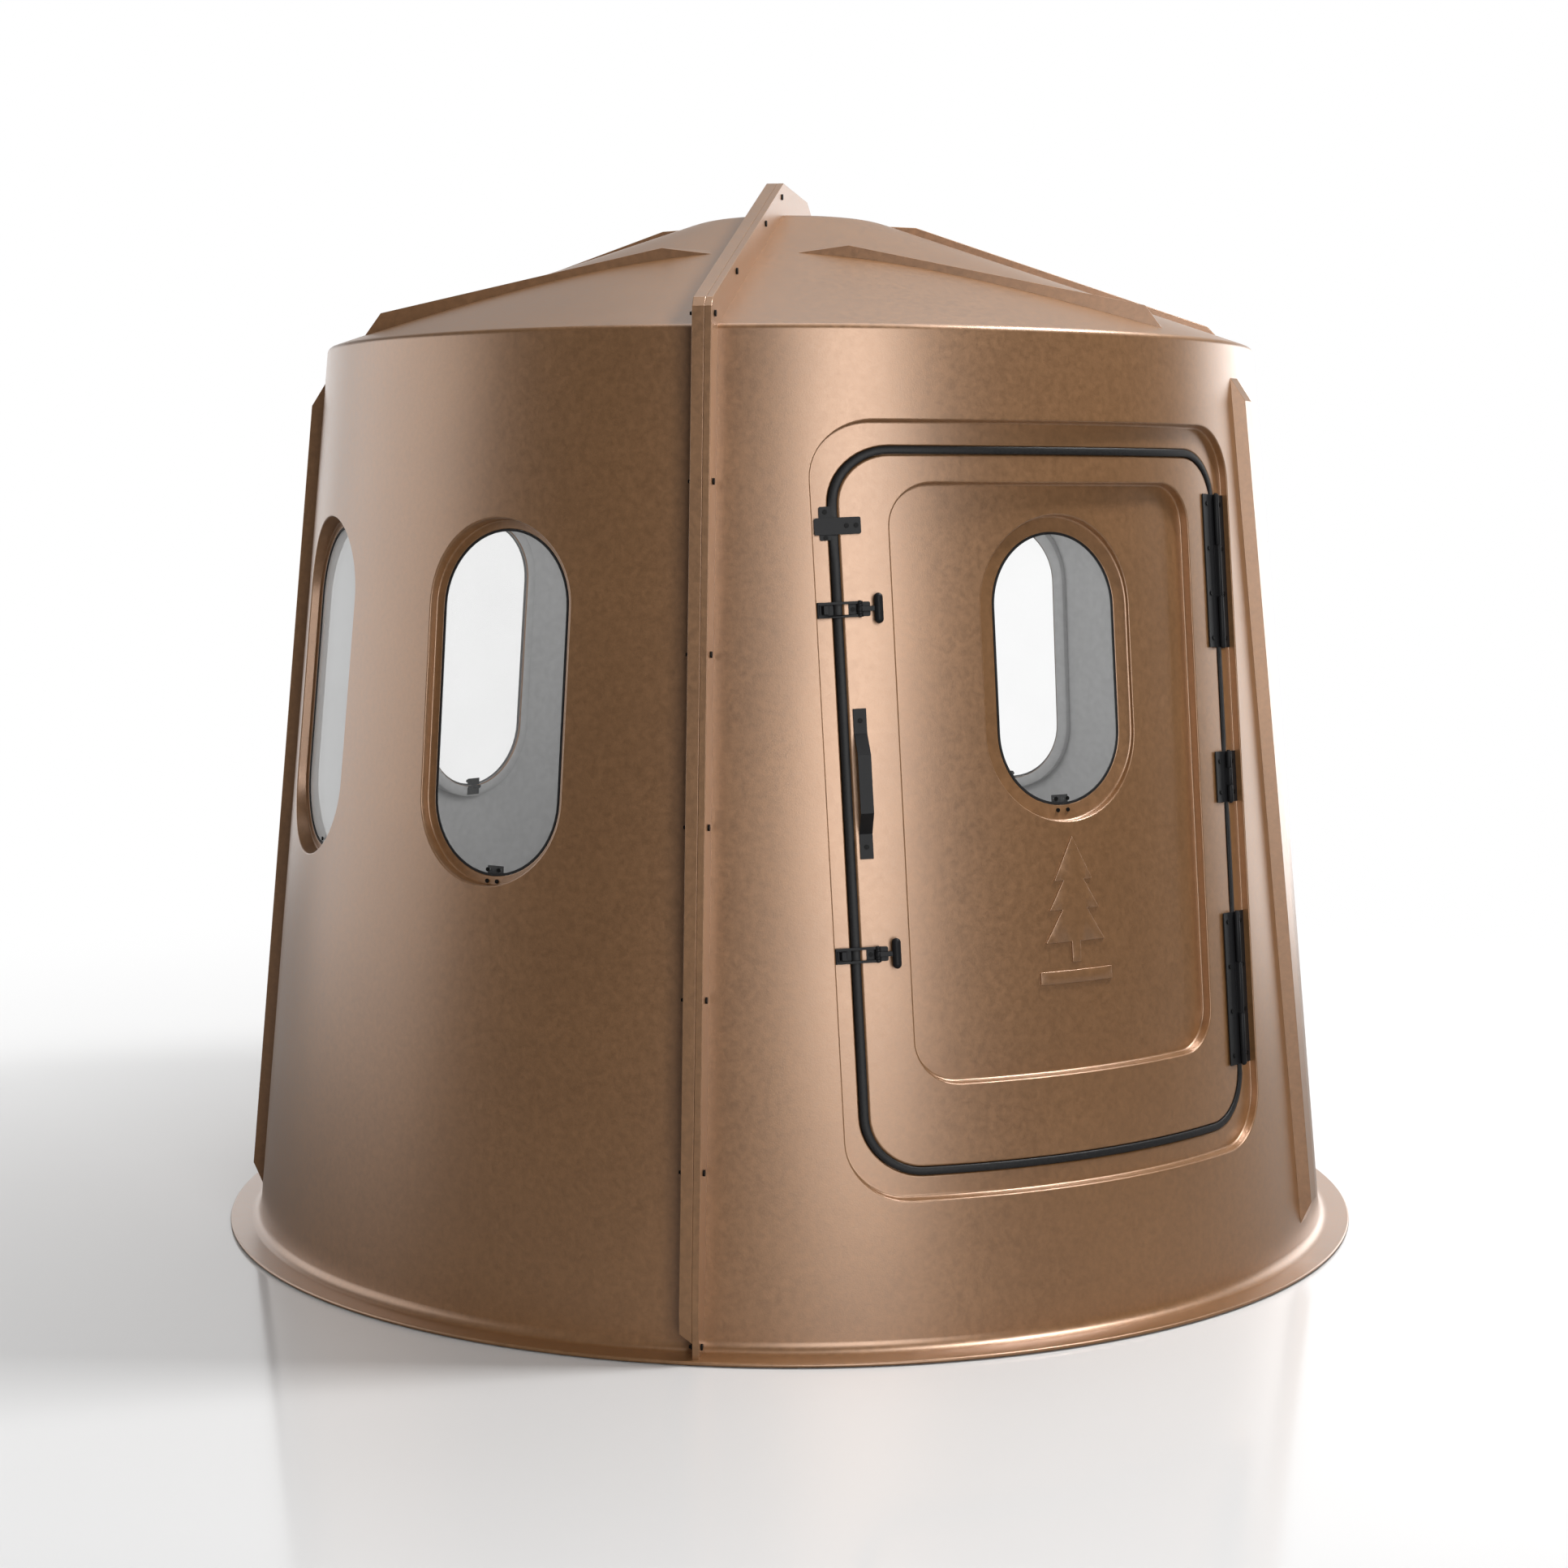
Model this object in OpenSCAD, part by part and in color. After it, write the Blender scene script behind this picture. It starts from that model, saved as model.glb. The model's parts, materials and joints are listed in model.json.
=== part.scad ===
// Rigid two-half ground blind: moulded shell halves bolted along a fin, hinged door, tilting windows.
// +Z is up, the origin is the centre of the base on the floor, and the front seam lies on -Y.
// Azimuths are measured from the front seam towards +X.

/* [Shell] */
// Height of the wall from the floor to the rim of the roof
wall_h = 1700; // [1600:10:1800]
// Outside radius of the wall at the floor
floor_r = 1068; // [1040:1:1090]
// Outside radius of the wall at the rim
rim_r = 905; // [895:1:925]
// Radius of the flat crown of the roof
crown_r = 166; // [150:1:180]
// Rise of the roof from the rim to the crown
roof_rise = 256; // [240:1:270]
// Thickness of the moulded shell
wall_t = 8; // [6:1:9]
// Width of the base flange outside the wall
flange_w = 57; // [50:1:65]

/* [Seam] */
// Height of the seam fin above the shell
fin_depth = 58; // [54:1:62]
// Thickness of the right half's fin
right_fin_t = 12; // [10:1:14]
// Thickness of the left half's fin
left_fin_t = 21; // [18:1:24]
// Height at which the left fin's outer side is cut off above the floor
left_fin_foot = 50; // [44:1:60]

/* [Ribs] */
// Height of the wall ribs above the shell
wall_rib_h = 22; // [18:1:26]
// Width of every rib
rib_w = 40; // [34:1:46]
// Distance of a wall rib's outer side from the middle of its half
wall_rib_y = 305; // [280:1:330]

/* [Windows] */
// Azimuths of the windows in the left half
left_windows = [-23.7, -56.8, -123.2, -156.3]; // [-165:0.1:-15]
// Azimuths of the windows in the right half
right_windows = [123.2, 156.3]; // [115:0.1:165]
// Height of the centre of a wall window
window_z = 1069; // [1040:1:1090]
// Half the width of a wall window's pocket, which is also its end radius
window_r = 150; // [140:1:155]
// Half the straight length of a wall window
window_straight = 164; // [150:1:175]
// Width of the ledge around a wall window's hole
window_ledge = 16; // [14:1:18]
// Depth of the pocket at its middle
window_depth = 30; // [28:1:34]

/* [Door] */
// Azimuth of the middle of the door
door_phi = 38.6; // [38:0.1:39]
// Half the width of the recess around the door
recess_half = 440; // [436:1:446]
// Height of the bottom and the top of the recess
recess_z = [253, 1544]; // [240:1:1560]
// Depth of the recess below the wall
recess_depth = 16; // [14:1:18]
// Half the distance between the door's two gasket lines
gasket_half = 401; // [398:1:404]
// Height of the gasket line's bottom and top
gasket_z = [298, 1494]; // [290:1:1500]
// Width of the gap that the gasket fills
gasket_gap = 14; // [12:1:16]
// Half the width of the door's inner panel
panel_half = 314; // [300:1:322]
// Height of the bottom and the top of the inner panel
panel_z = [439, 1441]; // [430:1:1450]
// Depth of the inner panel below the door's rim
panel_depth = 18; // [16:1:22]
// Height of the centre of the door window
door_window_z = 1126; // [1115:1:1135]
// Half the width of the door window's pocket, which is also its end radius
door_window_r = 155; // [150:1:158]
// Half the straight length of the door window
door_window_straight = 107; // [100:1:115]
// Width of the ledge around the door window's hole
door_window_ledge = 28; // [24:1:30]
// Depth of the door window's pocket at its middle
door_window_depth = 20; // [19:1:23]

/* [Hardware] */
// Length of the long door hinges
long_hinge = 276; // [260:1:290]
// Length of the short door hinge
short_hinge = 92; // [86:1:98]
// Width of one hinge leaf
leaf_w = 40; // [36:1:41]
// Height of the top, middle and bottom door hinges
hinge_z = [1284, 914, 533]; // [500:1:1300]
// Height of the two draw latches
latch_z = [1230, 660]; // [600:1:1250]
// Height of the strike plate and its overlap bar
strike_z = 1368; // [1350:1:1380]
// Height of the centre of the pull handle
handle_z = 942; // [930:1:955]
// Length of the pull handle
handle_l = 250; // [240:1:260]
// Stand-off of the pull handle's grip
handle_rise = 34; // [30:1:40]

/* [Hidden] */
$fn = 64;
WINDOW_NAMES = ["a", "b", "c", "d", "e", "f"];

// Colours
TAN = [0.66, 0.49, 0.36];
DARK = [0.16, 0.16, 0.16];
RUBBER = [0.1, 0.1, 0.1];
CLEAR = [0.75, 0.78, 0.8, 0.4];
GREY = [0.5, 0.5, 0.5];

// Slopes of the wall and the roof
wall_slope = (floor_r - rim_r) / wall_h;
lean = atan(wall_slope);
roof_slope = roof_rise / (rim_r - crown_r);
crown_z = wall_h + roof_rise;
skin = wall_t / 2;            // how far an added fin or rib is rooted into the shell
over = 60;                    // how far a cutter runs past what it cuts

// Radius of the wall at a height, and height of the roof at a radius
function wall_r(z) = floor_r - wall_slope * z;
function roof_z(r) = crown_z - roof_slope * max(0, r - crown_r);
// Rim of the surface that lies the given depth below the outside
function inner_rim_z(d) =
    (crown_z - d - roof_slope * (floor_r - d - crown_r)) / (1 - roof_slope * wall_slope);
function inner_rim_r(d) = floor_r - d - wall_slope * inner_rim_z(d);

// Everything inside the surface that lies the given depth below the outside
module envelope(depth, bottom = -over) {
    rotate_extrude($fn = 180)
        polygon([[0, bottom], [wall_r(bottom) - depth, bottom],
                 [inner_rim_r(depth), inner_rim_z(depth)],
                 [crown_r, crown_z - depth], [0, crown_z - depth]]);
}

// Section of one half: base flange, wall and roof
module shell_section() {
    polygon([[floor_r - wall_t, 0], [floor_r + flange_w, 0], [floor_r + flange_w, wall_t],
             [wall_r(wall_t), wall_t], [rim_r, wall_h], [crown_r, crown_z], [0, crown_z],
             [0, crown_z - wall_t], [crown_r, crown_z - wall_t],
             [inner_rim_r(wall_t), inner_rim_z(wall_t)]]);
}

module half_shell(start) {
    rotate([0, 0, start]) rotate_extrude(angle = 180, $fn = 180) shell_section();
}

// ---- Seam fins ----
fin_top_z = crown_z + fin_depth;
fin_rim_y = rim_r + fin_depth;
fin_rim_z = fin_top_z - roof_slope * (fin_rim_y - crown_r);
fin_base_y = floor_r + flange_w;
fin_foot_z = 85;              // where the fin's outer face starts to step back
fin_foot_inset = 14;          // how far it has stepped back at the floor
fin_bevel = 12;               // bevel where the wall fin meets the roof fin

function fin_side(s) = [
    [s * (fin_base_y - fin_foot_inset), 0],
    [s * (fin_base_y - wall_slope * fin_foot_z), fin_foot_z],
    [s * (fin_rim_y + 2), fin_rim_z - fin_bevel],
    [s * (fin_rim_y - fin_bevel), fin_rim_z + roof_slope * fin_bevel],
    [s * crown_r, fin_top_z]];

module fin(from_x, thickness) {
    difference() {
        translate([from_x, 0, 0])
            rotate([90, 0, 90])
                linear_extrude(thickness)
                    polygon(concat(fin_side(-1), [for (i = [4:-1:0]) fin_side(1)[i]]));
        envelope(skin);
    }
}

// Bolts through both fins: wall bolts at a steady pitch, roof bolts and a corner bolt
bolt_r = 3;
bolt_inset = 30;              // from the shell's surface to the bolt's axis
bolt_pitch = 283;
wall_bolt_z = [for (i = [1:5]) 27 + i * bolt_pitch];
wall_bolts = [for (z = wall_bolt_z) [wall_r(z) + bolt_inset, z]];
roof_bolts = [for (y = [192, 394, 720]) [y, roof_z(y) + 38]];
corner_bolt = [938, 1716];
foot_bolt = [wall_r(24) + bolt_inset, 24];
fin_bolts = concat(wall_bolts, roof_bolts, [corner_bolt]);
all_bolts = concat(fin_bolts, [foot_bolt]);
head_r = 5.5;
head_h = 3;

module along_x(p, from_x, length, r, sides = 32) {
    translate([from_x, p[0], p[1]]) rotate([0, 90, 0]) cylinder(h = length, r = r, $fn = sides);
}

module bolt_holes(from_x, length, points) {
    for (p = points, s = [-1, 1]) along_x([s * p[0], p[1]], from_x, length, bolt_r + 0.1);
}

// The foot bolt passes the right fin only, because the left fin is cut off above it
module seam_bolts() {
    color(DARK) {
        for (p = fin_bolts, s = [-1, 1]) {
            along_x([s * p[0], p[1]], right_fin_t, head_h, head_r);
            along_x([s * p[0], p[1]], -left_fin_t - 8, left_fin_t + right_fin_t + 8, bolt_r);
        }
        for (s = [-1, 1]) {
            along_x([s * foot_bolt[0], foot_bolt[1]], right_fin_t, head_h, head_r);
            along_x([s * foot_bolt[0], foot_bolt[1]], -8, right_fin_t + 8, bolt_r);
        }
    }
}

module nut(p, from_x) {
    difference() {
        along_x(p, from_x, 5, head_r, 6);
        along_x(p, from_x - 1, 7, bolt_r + 0.05);
    }
}

module seam_nuts() {
    color(DARK) {
        for (p = fin_bolts, s = [-1, 1]) nut([s * p[0], p[1]], -left_fin_t - 5);
        for (s = [-1, 1]) nut([s * foot_bolt[0], foot_bolt[1]], -5);
    }
}

// ---- Ribs ----
wall_rib_z = [50, 1640];
rib_end = 48;                 // length of the slope at each end of a rib
side_rib_y = 445;             // outer face of the roof's side ribs

module wall_rib(s) {
    rib_outline = [[wall_r(wall_rib_z[0]) - skin, wall_rib_z[0]],
                   [wall_r(wall_rib_z[0] + rib_end) + wall_rib_h, wall_rib_z[0] + rib_end],
                   [wall_r(wall_rib_z[1] - rib_end) + wall_rib_h, wall_rib_z[1] - rib_end],
                   [wall_r(wall_rib_z[1]) - skin, wall_rib_z[1]]];
    intersection() {
        rotate([0, 0, -90]) rotate_extrude(angle = 180, $fn = 180) polygon(rib_outline);
        translate([0, s > 0 ? wall_rib_y - rib_w : -wall_rib_y, 0]) cube([floor_r + over, rib_w, wall_h]);
    }
}

// A roof rib runs square to the seam. Its corners lie at distances x from the seam, at heights h
// over the roof at its outer face's distance y from the centre.
module roof_rib(y, from_y, x, h) {
    corners = [for (i = [0:3]) [x[i], roof_z(norm([x[i], y])) + h[i]]];
    roots = [[x[3] - rib_end, corners[3][1] - 2], [x[0] + rib_end, corners[0][1] - 12]];
    translate([0, from_y + rib_w, 0]) rotate([90, 0, 0])
        linear_extrude(rib_w) polygon(concat(corners, roots));
}

module roof_ribs() {
    difference() {
        union() {
            for (from_y = [-side_rib_y, side_rib_y - rib_w])
                roof_rib(side_rib_y, from_y, [72, 172, 704, 736], [-1, 21, 32, -1]);
            roof_rib(0, -rib_w / 2, [196, 252, 819, 842], [-1, 15, 15, -1]);
        }
        envelope(skin);
    }
}

// ---- Windows ----
// Places its children in a window's own axes: X across, Y up the slope, Z outwards
module at_wall(phi, z, depth = 0) {
    rotate([0, 0, phi]) translate([0, depth - wall_r(z), z]) rotate([90 - lean, 0, 0]) children();
}

module stadium(r, straight) {
    for (s = [-1, 1]) translate([0, s * straight]) circle(r = r, $fn = 96);
    translate([-r, -straight]) square([2 * r, 2 * straight]);
}

module stadium_plate(r, straight, from_z, height) {
    translate([0, 0, from_z]) linear_extrude(height) stadium(r, straight);
}

// Boss behind a pocket, and the pocket with its hole
module window_boss(r, straight, depth) {
    stadium_plate(r + wall_t, straight, -depth - wall_t, depth + wall_t + over);
}

module window_cut(r, straight, ledge, depth) {
    stadium_plate(r, straight, -depth, depth + over);
    stadium_plate(r - ledge, straight, -depth - 2 * over, 3 * over);
}

pane_t = 5;
pane_gap = 1.5;               // clearance around the pane in its hole
pane_set = 2.3;               // pane's outer face below the ledge's outer face
seal_w = 4;
seal_t = 2;
hinge_pin_r = 1.5;
knuckle_r = 2.8;
window_leaf_t = 1.4;
window_leaf_half = 17;        // half the width of a window hinge leaf
window_leaf_l = 15;
pin_drop = 12.5;              // hinge pin below the ledge's outer face
pane_screw_x = 12;            // screws in the pane, from the hinge's middle and above its pin
pane_screw_y = 11.5;
fixed_screw_x = 10.5;         // screws in the ledge, from the hinge's middle and below its pin
fixed_screw_y = -8;
screw_r = 1.6;

// The hinge line sits just below the hole's bottom edge
function pin_y(r, straight, ledge) = -(straight + r - ledge) - 1;

module window_seal(r, straight, ledge, depth) {
    difference() {
        stadium_plate(r - ledge, straight, -depth - seal_t, seal_t);
        stadium_plate(r - ledge - seal_w, straight, -depth - seal_t - 1, seal_t + 2);
    }
}

module pane(r, straight, ledge, depth) {
    color(CLEAR) difference() {
        stadium_plate(r - ledge - pane_gap, straight, -depth - pane_set - pane_t, pane_t);
        for (x = [-pane_screw_x, pane_screw_x])
            translate([x, pin_y(r, straight, ledge) + pane_screw_y, -depth - pane_set - pane_t - 1])
                cylinder(h = pane_t + 2, r = screw_r + 0.05, $fn = 24);
    }
}

module knuckle(x, length) {
    rotate([0, 90, 0]) translate([0, 0, x]) difference() {
        cylinder(h = length, r = knuckle_r, $fn = 32);
        translate([0, 0, -1]) cylinder(h = length + 2, r = hinge_pin_r + 0.05, $fn = 32);
    }
}

// Moving leaf: one middle knuckle, a plate on the pane's inner face and a web between them
module pane_leaf(r, straight, ledge, depth) {
    plate_z = pin_drop - pane_set - pane_t - window_leaf_t;
    color(GREY) translate([0, pin_y(r, straight, ledge), -depth - pin_drop]) {
        knuckle(-6, 12);
        difference() {
            union() {
                translate([-6, 0.5, -0.5]) cube([12, 4, plate_z + 0.5]);
                translate([-window_leaf_half, 3.4, plate_z])
                    cube([2 * window_leaf_half, window_leaf_l, window_leaf_t]);
            }
            translate([-7, 0, 0]) rotate([0, 90, 0]) cylinder(h = 14, r = hinge_pin_r + 0.05, $fn = 32);
        }
    }
}

// Fixed leaf: two outer knuckles and a plate on the ledge's inner face
module fixed_leaf(r, straight, ledge, depth) {
    plate_z = pin_drop - wall_t - window_leaf_t;
    color(GREY) translate([0, pin_y(r, straight, ledge), -depth - pin_drop]) {
        difference() {
            union() {
                for (x = [-window_leaf_half, 6.4]) {
                    knuckle(x, window_leaf_half - 6.4);
                    translate([x, -4.5, -0.5]) cube([window_leaf_half - 6.4, 4, plate_z + 0.5]);
                }
                translate([-window_leaf_half, -window_leaf_l - 3.4, plate_z])
                    cube([2 * window_leaf_half, window_leaf_l, window_leaf_t]);
            }
            translate([-window_leaf_half - 1, 0, 0]) rotate([0, 90, 0])
                cylinder(h = 2 * window_leaf_half + 2, r = hinge_pin_r + 0.05, $fn = 32);
        }
    }
}

module window_pin(r, straight, ledge, depth) {
    color(DARK) translate([-window_leaf_half, pin_y(r, straight, ledge), -depth - pin_drop])
        rotate([0, 90, 0]) cylinder(h = 2 * window_leaf_half, r = hinge_pin_r, $fn = 32);
}

// Screws are put in from outside, with flat round heads; top_z is the face under the heads
module window_screws(x, y, top_z, length) {
    color(DARK) for (side = [-x, x]) translate([side, y, top_z]) {
        cylinder(h = 2, r = 3.6, $fn = 24);
        translate([0, 0, -length]) cylinder(h = length, r = screw_r, $fn = 24);
    }
}

module pane_screws(r, straight, ledge, depth) {
    window_screws(pane_screw_x, pin_y(r, straight, ledge) + pane_screw_y, -depth - pane_set, pane_t);
}

module fixed_screws(r, straight, ledge, depth) {
    window_screws(fixed_screw_x, pin_y(r, straight, ledge) + fixed_screw_y, -depth, wall_t);
}

module fixed_screw_holes(r, straight, ledge, depth) {
    for (x = [-fixed_screw_x, fixed_screw_x])
        translate([x, pin_y(r, straight, ledge) + fixed_screw_y, -depth - wall_t - 1])
            cylinder(h = wall_t + 2, r = screw_r + 0.05, $fn = 24);
}

module wall_window_bosses(azimuths) {
    for (phi = azimuths) at_wall(phi, window_z) window_boss(window_r, window_straight, window_depth);
}

module wall_window_cuts(azimuths) {
    for (phi = azimuths) at_wall(phi, window_z) {
        window_cut(window_r, window_straight, window_ledge, window_depth);
        fixed_screw_holes(window_r, window_straight, window_ledge, window_depth);
    }
}

// ---- Shell halves ----
// The left fin ends above the floor, and its end slopes down towards the seam
module left_fin_cut() {
    rotate([90, 0, 0]) linear_extrude(2 * (fin_base_y + over), center = true)
        polygon([[-left_fin_t, -1], [1, -1], [1, left_fin_foot - 16], [0, left_fin_foot - 16],
                 [-left_fin_t, left_fin_foot], [-left_fin_t - 1, left_fin_foot], [-left_fin_t - 1, -1]]);
}

module left_shell() {
    color(TAN) difference() {
        union() {
            half_shell(90);
            difference() {
                fin(-left_fin_t, left_fin_t);
                left_fin_cut();
            }
            mirror([1, 0, 0]) for (s = [-1, 1]) wall_rib(s);
            mirror([1, 0, 0]) roof_ribs();
            intersection() {
                envelope(0, wall_t);
                wall_window_bosses(left_windows);
            }
        }
        wall_window_cuts(left_windows);
        bolt_holes(-left_fin_t - 1, left_fin_t + 2, fin_bolts);
    }
}

// A pair of heights moved apart by the given amount at each end
function grow(z, by) = [z[0] - by, z[1] + by];

// Places its children facing along the middle of the door: X across the door, Y up, Z outwards
module door_axes() {
    rotate([0, 0, door_phi]) rotate([90, 0, 0]) children();
}

// A block with rounded corners that runs through the wall along the middle of the door
module door_block(half, z, corner) {
    door_axes() linear_extrude(floor_r + over) {
        translate([-half + corner, z[0]]) square([2 * (half - corner), z[1] - z[0]]);
        translate([-half, z[0] + corner]) square([2 * half, z[1] - z[0] - 2 * corner]);
        for (x = [corner - half, half - corner], y = [z[0] + corner, z[1] - corner])
            translate([x, y]) circle(r = corner, $fn = 96);
    }
}

recess_corner = 100;
gasket_corner = 92;
panel_corner = 75;
lip_w = 24;                   // width of the frame's lip behind the door's edge
frame_half = gasket_half + gasket_gap / 2;
frame_z = [gasket_z[0] - gasket_gap / 2, gasket_z[1] + gasket_gap / 2];
door_half = gasket_half - gasket_gap / 2;
door_z = [gasket_z[0] + gasket_gap / 2, gasket_z[1] - gasket_gap / 2];
door_back = recess_depth + wall_t;           // depth of the back of the door's rim
lip_depth = door_back + 0.5;                 // depth of the lip's front face
lip_t = 7;
gasket_top_gap = 1.8;         // the door rises a little as it opens, so its top edge has a wider gap
gasket_side_gap = 0.6;

// Material between two depths below the outside of the wall
module layer(outer, inner) {
    difference() {
        envelope(outer, 0);
        envelope(inner, -over);
    }
}

module right_shell() {
    color(TAN) difference() {
        union() {
            half_shell(-90);
            fin(0, right_fin_t);
            for (s = [-1, 1]) wall_rib(s);
            roof_ribs();
            intersection() {
                layer(0, lip_depth + lip_t);
                door_block(recess_half + wall_t, grow(recess_z, wall_t), recess_corner + wall_t);
            }
            intersection() {
                envelope(0, wall_t);
                wall_window_bosses(right_windows);
            }
        }
        // Recess around the door
        difference() {
            door_block(recess_half, recess_z, recess_corner);
            envelope(recess_depth);
        }
        // Seat of the door and its gasket
        difference() {
            door_block(frame_half, frame_z, gasket_corner + gasket_gap / 2);
            envelope(lip_depth);
        }
        // Doorway inside the lip
        door_block(frame_half - lip_w, grow(frame_z, -lip_w), gasket_corner - lip_w);
        wall_window_cuts(right_windows);
        bolt_holes(-1, right_fin_t + 2, all_bolts);
    }
}

// ---- Door ----
panel_front = recess_depth + panel_depth;

module door_panel() {
    color(TAN) difference() {
        union() {
            intersection() {
                layer(recess_depth, door_back);
                door_block(door_half, door_z, gasket_corner - gasket_gap / 2);
            }
            intersection() {
                layer(recess_depth, panel_front + wall_t);
                door_block(panel_half + wall_t, grow(panel_z, wall_t), panel_corner + wall_t);
            }
            intersection() {
                envelope(panel_front, wall_t);
                at_door_window() window_boss(door_window_r, door_window_straight, door_window_depth);
            }
        }
        difference() {
            door_block(panel_half, panel_z, panel_corner);
            envelope(panel_front);
        }
        at_door_window() {
            window_cut(door_window_r, door_window_straight, door_window_ledge, door_window_depth);
            fixed_screw_holes(door_window_r, door_window_straight, door_window_ledge, door_window_depth);
        }
    }
}

module door_gasket() {
    color(RUBBER) difference() {
        intersection() {
            layer(recess_depth, door_back);
            door_block(frame_half, frame_z, gasket_corner + gasket_gap / 2);
        }
        door_block(door_half + gasket_side_gap, [door_z[0] - gasket_side_gap, door_z[1] + gasket_top_gap],
                   gasket_corner - gasket_gap / 2 + gasket_side_gap);
    }
}

// Plain pine-tree relief over a bar, raised from the inner panel
emblem_z = 700;
emblem_rise = 3;

module door_emblem() {
    tiers = [[-40, 62, 95], [15, 52, 85], [65, 40, 75]];
    color(TAN) intersection() {
        layer(panel_front - emblem_rise, panel_front);
        door_axes() translate([0, emblem_z, 0]) linear_extrude(floor_r + over) {
            for (t = tiers) polygon([[-t[1], t[0]], [t[1], t[0]], [0, t[0] + t[2]]]);
            translate([-9, -75]) square([18, 40]);
            translate([-75, -110]) square([150, 22]);
        }
    }
}

// ---- Door hinges ----
// Distance from the origin, along the door's middle direction, of the gasket line on the recess floor
function gasket_w(z) = sqrt(pow(wall_r(z) - recess_depth, 2) - pow(gasket_half, 2));
edge_tilt = atan((gasket_w(gasket_z[0]) - gasket_w(gasket_z[1])) / (gasket_z[1] - gasket_z[0]));
mid_z = (gasket_z[0] + gasket_z[1]) / 2;
edge_turn = asin(gasket_half / (wall_r(mid_z) - recess_depth));

// Places its children on the gasket line: X across, Y up along the line, Z outwards
// side is 1 at the hinges and -1 at the latches; the origin lies on the straight line through both ends
module on_edge(side, z) {
    w = gasket_w(gasket_z[0]) - (z - gasket_z[0]) * tan(edge_tilt);
    rotate([0, 0, door_phi]) translate([side * gasket_half, -w, z]) rotate([90 - edge_tilt, 0, 0])
        rotate([0, side * edge_turn, 0]) children();
}

leaf_t = 2.2;
leaf_lift = 0.8;              // clearance of the flat leaves over the curved recess floor
door_pin_r = 3;
door_pin_n = 8.6;             // height of the hinge pin above the recess floor
door_knuckle_r = 5;
leaf_gap = 0.8;               // gap between a leaf's edge and the pin's plane

module door_knuckle(y, length) {
    translate([0, y, door_pin_n]) rotate([-90, 0, 0]) difference() {
        cylinder(h = length, r = door_knuckle_r, $fn = 48);
        translate([0, 0, -1]) cylinder(h = length + 2, r = door_pin_r + 0.05, $fn = 48);
    }
}

// A leaf on side s of the pin, with its knuckles at the given starts and lengths
module hinge_leaf(s, length, knuckles) {
    x0 = s > 0 ? leaf_gap : -leaf_w;
    web_x = s > 0 ? leaf_gap : -4.9;
    color(DARK) difference() {
        union() {
            translate([x0, -length / 2, leaf_lift]) cube([leaf_w - leaf_gap, length, leaf_t]);
            for (k = knuckles) {
                door_knuckle(k[0], k[1]);
                translate([web_x, k[0], leaf_lift]) cube([4.9 - leaf_gap, k[1], door_pin_n - leaf_lift]);
            }
        }
        translate([0, -length / 2 - 1, door_pin_n]) rotate([-90, 0, 0])
            cylinder(h = length + 2, r = door_pin_r + 0.05, $fn = 48);
    }
}

function frame_knuckles(l) = [[-l / 2, l / 3 - 0.4], [l / 6 + 0.4, l / 3 - 0.4]];
function door_knuckles(l) = [[-l / 6, l / 3]];

module frame_leaf(i, l) { on_edge(1, hinge_z[i]) hinge_leaf(1, l, frame_knuckles(l)); }
module door_leaf(i, l) { on_edge(1, hinge_z[i]) hinge_leaf(-1, l, door_knuckles(l)); }

hinge_l = [long_hinge, short_hinge, long_hinge];

module door_hinge_pins() {
    color(DARK) for (i = [0:2]) on_edge(1, hinge_z[i])
        translate([0, -hinge_l[i] / 2 - 2, door_pin_n]) rotate([-90, 0, 0])
            cylinder(h = hinge_l[i] + 4, r = door_pin_r, $fn = 48);
}

screw_x = 26;
function leaf_screws(i) = i == 1 ? [-28, 28] : [-121, -40.5, 40.5, 121];

// Button-head screws on the top face of the leaves
module leaf_screw_set(s) {
    color(DARK) for (i = [0:2]) on_edge(1, hinge_z[i])
        for (y = leaf_screws(i)) translate([s * screw_x, y, leaf_lift + leaf_t])
            cylinder(h = 1.6, r = 4, $fn = 24);
}

// ---- Latch side ----
module round_plate(x0, x1, half_y, z0, t, corner = 3) {
    translate([0, 0, z0]) linear_extrude(t) {
        translate([x0 + corner, -half_y]) square([x1 - x0 - 2 * corner, 2 * half_y]);
        translate([x0, -half_y + corner]) square([x1 - x0, 2 * half_y - 2 * corner]);
        for (x = [x0 + corner, x1 - corner], y = [corner - half_y, half_y - corner])
            translate([x, y]) circle(r = corner, $fn = 32);
    }
}

base_n = 0.8;                 // clearance of the flat latch-side plates over the curved recess floor

strike_x = -14;               // middle of the strike plate, on the frame's side of the gasket line
strike_y = 5;                 // and above the middle of the overlap bar

module strike_plate() {
    color(DARK) on_edge(-1, strike_z) translate([strike_x, strike_y, 0]) rotate([0, 0, 90])
        round_plate(-28, 28, 10, base_n, 3);
}

module overlap_bar() {
    color(DARK) on_edge(-1, strike_z) {
        round_plate(-33, 45, 14, base_n + 3.6, 3);
        round_plate(10, 45, 14, base_n, 3.7);
    }
}

latch_pin_x = 36;             // latch pin from the gasket line, towards the door's middle
latch_pin_n = 9.8;            // latch pin above the recess floor
latch_pin_r = 2.5;
arm_y = [8.8, 13];            // inner and outer face of the loop's arms
loop_bar_x = -33.5;
loop_bar_r = 2.8;

// The catch's post leans along the door's own way out, so that the loop's bar can pass it
module latch_catch(z) {
    color(DARK) on_edge(-1, z) {
        round_plate(-40, -8, 9, base_n, 3);
        translate([0, 7, base_n]) rotate([90, 0, 0]) linear_extrude(14)
            polygon([[-29.5, 0], [-18.5, 0], [-15.5, 8], [-16.5, 11.8], [-24.2, 11.8]]);
    }
}

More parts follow.
